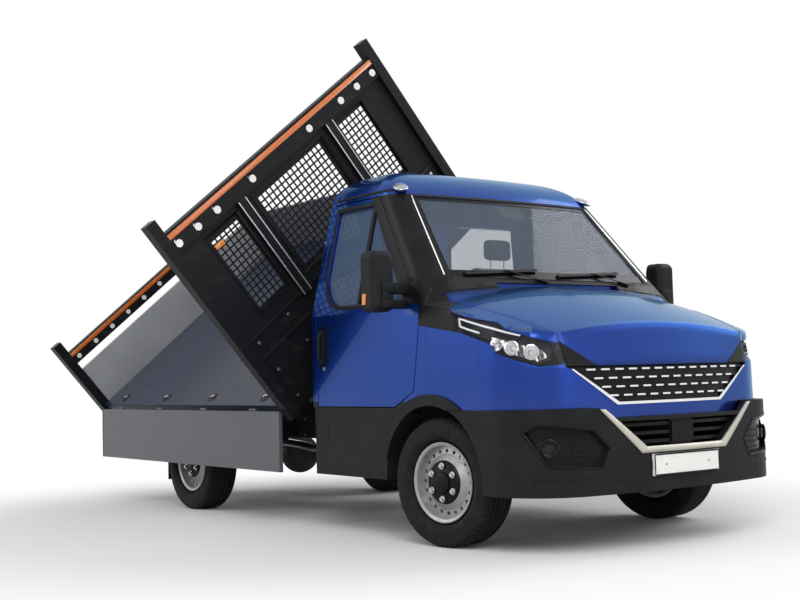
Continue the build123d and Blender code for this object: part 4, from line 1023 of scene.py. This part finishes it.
bed_blocks("gate_ribs", [(-4.388, -4.385, -0.99, 0.99, z - 0.008, z + 0.008) for z in (0.965, 1.09, 1.215, 1.33)],
           ALLOY, "tailgate", bevel=0.001, base=0.0)
bolts("gate_bolts", [(tipped(-4.385, y + dy, 0.99), BACKWARD) for y in (-0.67, 0.0, 0.67) for dy in (-0.03, 0.03)],
      HINGE_BOLT, NUT_STEEL, "tailgate")
bed_blocks("gate_latches", [(-4.40, -4.385, y - 0.03, y + 0.03, 1.26, 1.33) for y in (-0.96, 0.96)], RED_PAINT,
           "tailgate", bevel=0.004, base=0.0)

LASHING_CUP = [(0.040, -0.001), (0.044, 0.002), (0.040, 0.004), (0.031, 0.003), (0.029, 0.0)]
# The ring's bar, as x, y and z from the middle of its cup on the bed's floor.
LASHING_RING = ((-0.024, 0.0, 0.999), (-0.008, 0.016, 1.001), (0.008, 0.016, 1.001), (0.024, 0.0, 0.999))

cups, rings = bmesh.new(), bmesh.new()
for x in (-4.05, -3.30, -2.55, -1.80):
    for y in (-0.97, 0.97):
        add_lathe(cups, LASHING_CUP, tipped(x, y, 0.9955), BED_UP, 28)
        add_tube(rings, [tipped(x + dx, y + dy, z) for dx, dy, z in LASHING_RING], 0.0045, 8)
piece("lashing_cups", cups, GLOSS_BLACK, "bed")
piece("lashing_rings", rings, NUT_STEEL, "bed")


# Under the bed.

RAIL_Y = 0.430
SPRING_X, SPRING_Y = -3.0, 0.525
LEAF_SECTION = oblong(-0.033, -0.0055, 0.033, 0.0055)
# Rows of x, y out from the middle, and z, from and to.
CLAMP_PLATES = ((-3.07, -2.93, 0.485, 0.565, 0.475, 0.487), (-3.07, -2.93, 0.485, 0.565, 0.284, 0.296))
MUD_FLAP = (-3.392, -3.384, 0.74, 0.955, 0.20, 0.46)
EXHAUST = ((-0.55, -0.24, 0.50), (-1.2, -0.27, 0.46), (-1.6, -0.30, 0.44), (-2.3, -0.32, 0.44), (-2.42, -0.34, 0.46),
           (-3.4, -0.36, 0.52), (-3.9, -0.50, 0.50), (-3.98, -0.62, 0.47))
SILENCER = [(0.03, 0.0), (0.085, 0.03), (0.092, 0.06), (0.092, 0.52), (0.085, 0.55), (0.03, 0.58)]
TANK_STRAP = ((0.468, 0.40), (0.468, 0.59), (0.52, 0.642), (0.75, 0.642), (0.802, 0.59), (0.802, 0.40), (0.75, 0.348),
              (0.52, 0.348))
TANK_Y, TANK_Z, STRAP_T, STRAP_HALF = 0.635, 0.495, 0.004, 0.02

rail_bolts = []
for _, sign in SIDES:
    places = [(0.55 - 0.185 * n, z) for n in range(26) for z in (0.545, 0.655)]
    places += [(-1.62 - 0.3 * n, 0.74) for n in range(9)]
    rail_bolts += [(at(x, sign * RAIL_Y, z), (0, sign, 0)) for x, z in places]
bolts("frame_bolts", rail_bolts, RAIL_BOLT, NUT_STEEL, "base")

clamps, leaves = bmesh.new(), bmesh.new()
for _, sign in SIDES:
    for x in (-3.045, -2.955):
        for y in (0.498, 0.552):
            add_tube(clamps, [at(x, sign * y, 0.285), at(x, sign * y, 0.475)], 0.007, 10)
    for one, other in handed_boxes(CLAMP_PLATES, sign):
        add_block(clamps, one, other)
    for n, reach in enumerate((0.48, 0.36, 0.24)):
        low = 0.419 - 0.013 * (n + 1)
        line = [at(SPRING_X + reach * t, sign * SPRING_Y, low + 0.083 * (reach * t / 0.64) ** 2)
                for t in (-1, -0.66, -0.33, 0, 0.33, 0.66, 1)]
        loft(leaves, [[p + Vector((0, *corner)) for corner in LEAF_SECTION] for p in line])
piece("spring_clamps", clamps, NUT_STEEL, "base")
piece("lower_leaves", leaves, FRAME_BLACK, "base")

pipe = bmesh.new()
add_tube(pipe, [at(*place) for place in EXHAUST], 0.029, 18)
add_lathe(pipe, SILENCER, at(-1.55, -0.30, 0.44), BACKWARD, 28)
piece("exhaust", pipe, RAM_STEEL, "base")

straps = bmesh.new()
for x in (-2.10, -1.66):
    hoops = []
    for y, z in TANK_STRAP:
        out = Vector((0, y - TANK_Y, z - TANK_Z)).normalized() * STRAP_T
        hoops.append([at(x + dx, y, z) + out * lift for dx, lift in oblong(-STRAP_HALF, 0, STRAP_HALF, 1)])
    loft(straps, hoops, True)
piece("tank_straps", straps, NUT_STEEL, "base")
blocks("mud_flaps", [box for _, sign in SIDES for box in handed_boxes([MUD_FLAP], sign)], RUBBER, "base", bevel=0.002)

TAIL_INNER, TAIL_OUTER, TAIL_LOW, TAIL_HIGH, TAIL_BAR = 0.585, 0.895, 0.402, 0.498, 0.006
TAIL_CELLS = (("stop", 0.592, 0.70, RED_LENS), ("turn", 0.704, 0.80, ORANGE), ("reverse", 0.804, 0.888, LAMP_CLEAR))
for side, sign in SIDES:
    y0, y1 = sorted((sign * TAIL_INNER, sign * TAIL_OUTER))
    bars = ((y0, y1, TAIL_LOW, TAIL_LOW + TAIL_BAR), (y0, y1, TAIL_HIGH - TAIL_BAR, TAIL_HIGH),
            (y0, y0 + TAIL_BAR, TAIL_LOW, TAIL_HIGH), (y1 - TAIL_BAR, y1, TAIL_LOW, TAIL_HIGH))
    blocks("tail_frame_" + side, handed_boxes([(-4.276, -4.258, *bar) for bar in bars], 1), GLOSS_BLACK, "base",
           bevel=0.002)
    for name, inner, outer, finish in TAIL_CELLS:
        blocks("tail_%s_%s" % (name, side), handed_boxes([(-4.273, -4.267, inner, outer, 0.411, 0.489)], sign), finish,
               "base", bevel=0.0025)


# Behind the cab.

CANISTER = [(0.050, 0.0), (0.065, 0.006), (0.068, 0.02), (0.068, 0.235), (0.060, 0.255), (0.03, 0.262), (0.022, 0.285)]
SWEEP_STEPS = 8
PLATE_W, PLATE_T = 0.10, 0.006

can = bmesh.new()
add_lathe(can, CANISTER, at(-1.340, -0.615, 0.88), UPWARD, 36)
piece("oil_canister", can, GLOSS_BLACK, "base")
plate, bends = bmesh.new(), []
for n in range(SWEEP_STEPS + 1):
    t = n / SWEEP_STEPS
    bulge = math.sin(math.pi * t)
    x, z = -1.44 + 0.03 * bulge, 0.60 + 0.30 * t
    reach = 0.80 + 0.055 * bulge
    bends.append([at(x + dx, -y, z) for dx, y in ((0, reach - PLATE_W), (0, reach), (PLATE_T, reach),
                                                  (PLATE_T, reach - PLATE_W))])
loft(plate, bends)
piece("bracket_plate", plate, BRACKET_BEIGE, "base")
bolts("pack_bolts", [(at(-1.46, y, z), BACKWARD) for y in (-0.73, -0.50) for z in (0.67, 0.855)], PACK_BOLT,
      NUT_STEEL, "base")
bolts("pivot_ends", [(at(x + end * 0.05, sign * 0.76, PIVOT_Z), (end, 0, 0)) for x in (-1.75, -4.015) for end in (-1, 1)
                     for sign in (-1, 1)], PIVOT_END, RAM_STEEL, "base", ROUND_STUDS)


# Cab inside.

PAD_MARGIN, PAD_CAP, PAD_VOXEL = 0.014, 0.016, 0.011
PAD_PRESSURE, PAD_STEPS = 4.0, 20
SEAM_REACH, SEAM_DEEP = 0.016, 0.007


def swell(obj):
    """Blow the pad up as cloth, and hold each point near where it was."""
    start = [v.co.copy() for v in obj.data.vertices]
    cloth = obj.modifiers.new("swell", "CLOTH").settings
    cloth.quality = 4
    cloth.use_pressure = True
    cloth.uniform_pressure_force = PAD_PRESSURE
    cloth.effector_weights.gravity = 0.0
    for number in range(1, PAD_STEPS + 1):
        bpy.context.scene.frame_set(number)
    bake(obj)
    bpy.context.scene.frame_set(1)
    for vert, was in zip(obj.data.vertices, start):
        move = vert.co - was
        if move.length > PAD_CAP:
            vert.co = was + move.normalized() * PAD_CAP


def pad(name, low, high, seams):
    """A sewn foam pad: swollen by cloth pressure inside its place, with seams pressed in along (axis, place)."""
    bm = bmesh.new()
    margin = Vector((PAD_MARGIN, PAD_MARGIN, PAD_MARGIN))
    add_block(bm, at(*low) + margin, at(*high) - margin)
    obj = placed(name, mesh_of(name, bm))
    edge = obj.modifiers.new("edge", "BEVEL")
    edge.width = 0.32 * min(b - a for a, b in zip(low, high))
    edge.segments = 4
    cover = obj.modifiers.new("skin", "REMESH")
    cover.mode = "VOXEL"
    cover.voxel_size = PAD_VOXEL
    bake(obj)
    swell(obj)
    normals = [v.normal.copy() for v in obj.data.vertices]
    for vert, normal in zip(obj.data.vertices, normals):
        for axis, place in seams:
            near = abs(vert.co[axis] - (AXLE_X, MID_Y, 0)[axis] - place)
            if near < SEAM_REACH and abs(normal[axis]) < 0.6:
                vert.co -= normal * SEAM_DEEP * (1 - near / SEAM_REACH)
    fine = obj.modifiers.new("fine", "SUBSURF")
    fine.levels = 1
    fine.render_levels = 1
    bake(obj)
    obj.data.shade_smooth()
    dress(obj, CLOTH)
    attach(obj, "base")


SEAT_BAYS = (("middle", -0.385, -0.05), ("passenger", -0.755, -0.395), ("driver", 0.18, 0.70))
for name, y0, y1 in SEAT_BAYS:
    third, middle = (y1 - y0) * 0.24, (y0 + y1) / 2
    lines = [(1, y0 + third), (1, y1 - third)]
    pad("seat_pad_" + name, (-1.0, y0, 0.965), (-0.555, y1, 1.125), lines + [(0, -0.72)])
    pad("back_pad_" + name, (-1.105, y0, 1.07), (-0.995, y1, 1.70), lines + [(2, 1.30), (2, 1.55)])
    pad("head_pad_" + name, (-1.10, middle - 0.125, 1.715), (-1.0, middle + 0.125, 1.885), [])

boxes = [(at(-1.0, y0, 0.802), at(-0.60, y1, 0.965)) for y0, y1 in ((-0.70, -0.10), (0.24, 0.64))]
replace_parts(blocks("seat_plinths", boxes, DASH_BLACK, "base", bevel=0.012), "cab_seating")
posts = bmesh.new()
for _, y0, y1 in SEAT_BAYS:
    for dy in (-0.06, 0.06):
        y = (y0 + y1) / 2 + dy
        add_tube(posts, [at(-1.05, y, 1.66), at(-1.05, y, 1.75)], 0.007, 12)
piece("headrest_posts", posts, CHROME, "base")

VENT = [(0.030, 0.0), (0.042, 0.004), (0.044, 0.010), (0.038, 0.012), (0.034, 0.004)]
KNOB = [(0.012, 0.0), (0.026, 0.012), (0.030, 0.03), (0.024, 0.048), (0.006, 0.054)]

hood, arches = bmesh.new(), []
for n in range(SWEEP_STEPS + 1):
    t = n / SWEEP_STEPS
    rise = 0.085 * math.sin(math.pi * t) ** 0.7
    arches.append([at(x, 0.24 + 0.40 * t, z) for x, z in ((-0.10, 1.405), (-0.12, 1.425 + rise), (-0.30, 1.43 + rise),
                                                          (-0.335, 1.40 + rise), (-0.30, 1.36))])
loft(hood, arches)
piece("instrument_hood", hood, DASH_BLACK, "base", bevel=0.006)
patch("dash_screen", "dash_and_steering", "rear", oblong(-0.12, 1.22, 0.12, 1.32), FRIT, "base", proud=0.004,
      depth=0.006)
vents = bmesh.new()
for y in (-0.78, -0.22, 0.22, 0.78):
    add_lathe(vents, VENT, lay(surface_of("dash_and_steering"), "rear", y, 1.285, 0.002), (-0.92, 0, 0.38), 28, True)
piece("air_vents", vents, CHROME, "base")
lever = bmesh.new()
add_tube(lever, [at(-0.42, 0.02, 1.12), at(-0.47, 0.02, 1.20), at(-0.49, 0.02, 1.26)], 0.012, 14)
add_lathe(lever, KNOB, at(-0.49, 0.02, 1.25), (-0.3, 0, 1), 20)
piece("gear_lever", lever, GLOSS_BLACK, "base")
blocks("inside_mirror", [(at(-0.475, -0.12, 1.895), at(-0.455, 0.12, 1.955))], GLOSS_BLACK, "base", bevel=0.008)


# Floor, light and camera.

SKY_LIGHT, SEEN_WHITE = 0.42, 1.0
SEEING_RAYS = ("Is Camera Ray", "Is Glossy Ray", "Is Transmission Ray")
FLOOR_HALF = 40.0
# Distances over which the floor goes from its grey, a painted shadow round the vehicle, to white.
FADE_FROM, FADE_TO = 2.0, 4.4
# Each lamp's name, place, aim, size and power.
LAMPS = (("key", at(5.5, -5.0, 6.5), at(-0.8, 0, 0.8), 5.0, 470),
         ("fill", at(-5.0, -7.0, 4.5), at(-2.0, 0, 0.9), 6.0, 210),
         ("rim", at(1.0, 7.0, 6.0), at(-1.0, 0, 1.0), 5.0, 260),
         ("front", at(9.0, 1.5, 3.5), at(0.0, 0, 0.9), 4.0, 120))


def sky():
    """Soft light from all round, seen as white by the camera, in gloss and through glass."""
    world = bpy.data.worlds.new("studio")
    world.use_nodes = True
    bpy.context.scene.world = world
    wiring = Wiring(world.node_tree)
    light = world.node_tree.nodes["Background"]
    wiring.join(light.inputs["Color"], (1, 1, 1))
    wiring.join(light.inputs["Strength"], SKY_LIGHT)
    white = wiring.node("ShaderNodeBackground", links={"Color": (1, 1, 1), "Strength": SEEN_WHITE})
    camera_ray, glossy_ray, clear_ray = [wiring.node("ShaderNodeLightPath", output=ray) for ray in SEEING_RAYS]
    seen = camera_ray.math("MAXIMUM", glossy_ray).math("MAXIMUM", clear_ray)
    blend = wiring.node("ShaderNodeMixShader", links={0: seen, 1: Sock(wiring, light.outputs[0]), 2: white})
    wiring.join(world.node_tree.nodes["World Output"].inputs[0], blend)


def pale_floor():
    """Matt pale floor that keeps the cast shadow, is greyer near the vehicle as a painted shadow round it, and fades to
    white far out.
    """
    ground = bpy.data.meshes.new("floor")
    corners = oblong(-FLOOR_HALF, -FLOOR_HALF, FLOOR_HALF, FLOOR_HALF)
    ground.from_pydata([(x, y, 0) for x, y in corners], [], [(0, 1, 2, 3)])
    floor = placed("floor", ground)
    paper = Paint("pale_floor")
    # The grey tone near the vehicle, set against the white far out, is painted shadow round it; the lamps' cast shadow
    # falls on it as well.
    paper.set(Base_Color=paper.mix(paper.noise(0.8) * 0.06, (0.80, 0.80, 0.80), (0.76, 0.76, 0.76)), Roughness=0.9)
    far = paper.node("ShaderNodeVectorMath", {"operation": "LENGTH"}, {0: paper.place()}, output=1)
    fade = paper.node("ShaderNodeMapRange", {"interpolation_type": "SMOOTHSTEP"},
                      {"Value": far, "From Min": FADE_FROM, "From Max": FADE_TO})
    camera_ray, glossy_ray, clear_ray = [paper.node("ShaderNodeLightPath", output=ray) for ray in SEEING_RAYS]
    white = paper.node("ShaderNodeEmission", links={"Strength": SEEN_WHITE})
    blend = paper.node("ShaderNodeMixShader", links={0: fade * (camera_ray + glossy_ray + clear_ray > 0.5),
                                                     1: Sock(paper, paper.bsdf.outputs[0]), 2: white})
    paper.join(paper.tree.nodes["Material Output"].inputs[0], blend)
    dress(floor, paper.material)


def lamps():
    for name, place, aim, size, power in LAMPS:
        lamp = bpy.data.lights.new(name, "AREA")
        lamp.size = size
        lamp.energy = power
        obj = placed(name, lamp)
        obj.location = place
        obj.rotation_euler = (aim - place).to_track_quat("-Z", "Y").to_euler()


STANDPOINT = (5.43675, -5.19363, 0.9525)
YAW, PITCH, ROLL = math.radians(143.596), math.radians(3.4834), math.radians(-1.576)
IMAGE_WIDTH, FOCAL_LENGTH = 800.0, 1236.67
SENSOR_WIDTH = 36.0


def camera():
    """The photograph's standpoint: off the right front corner, about a metre up."""
    ahead = Vector((math.cos(YAW) * math.cos(PITCH), math.sin(YAW) * math.cos(PITCH), math.sin(PITCH)))
    side = Vector((math.sin(YAW), -math.cos(YAW), 0))
    above = side.cross(ahead)
    right = math.cos(ROLL) * side + math.sin(ROLL) * above
    up = -math.sin(ROLL) * side + math.cos(ROLL) * above
    data = bpy.data.cameras.new("photo_view")
    data.sensor_width = SENSOR_WIDTH
    data.lens = SENSOR_WIDTH * FOCAL_LENGTH / IMAGE_WIDTH
    obj = placed("photo_view", data)
    obj.matrix_world = Matrix.Translation(at(*STANDPOINT)) @ Matrix((right, up, -ahead)).transposed().to_4x4()
    bpy.context.scene.camera = obj
    bpy.context.scene.view_settings.view_transform = "Standard"


sky()
pale_floor()
lamps()
camera()
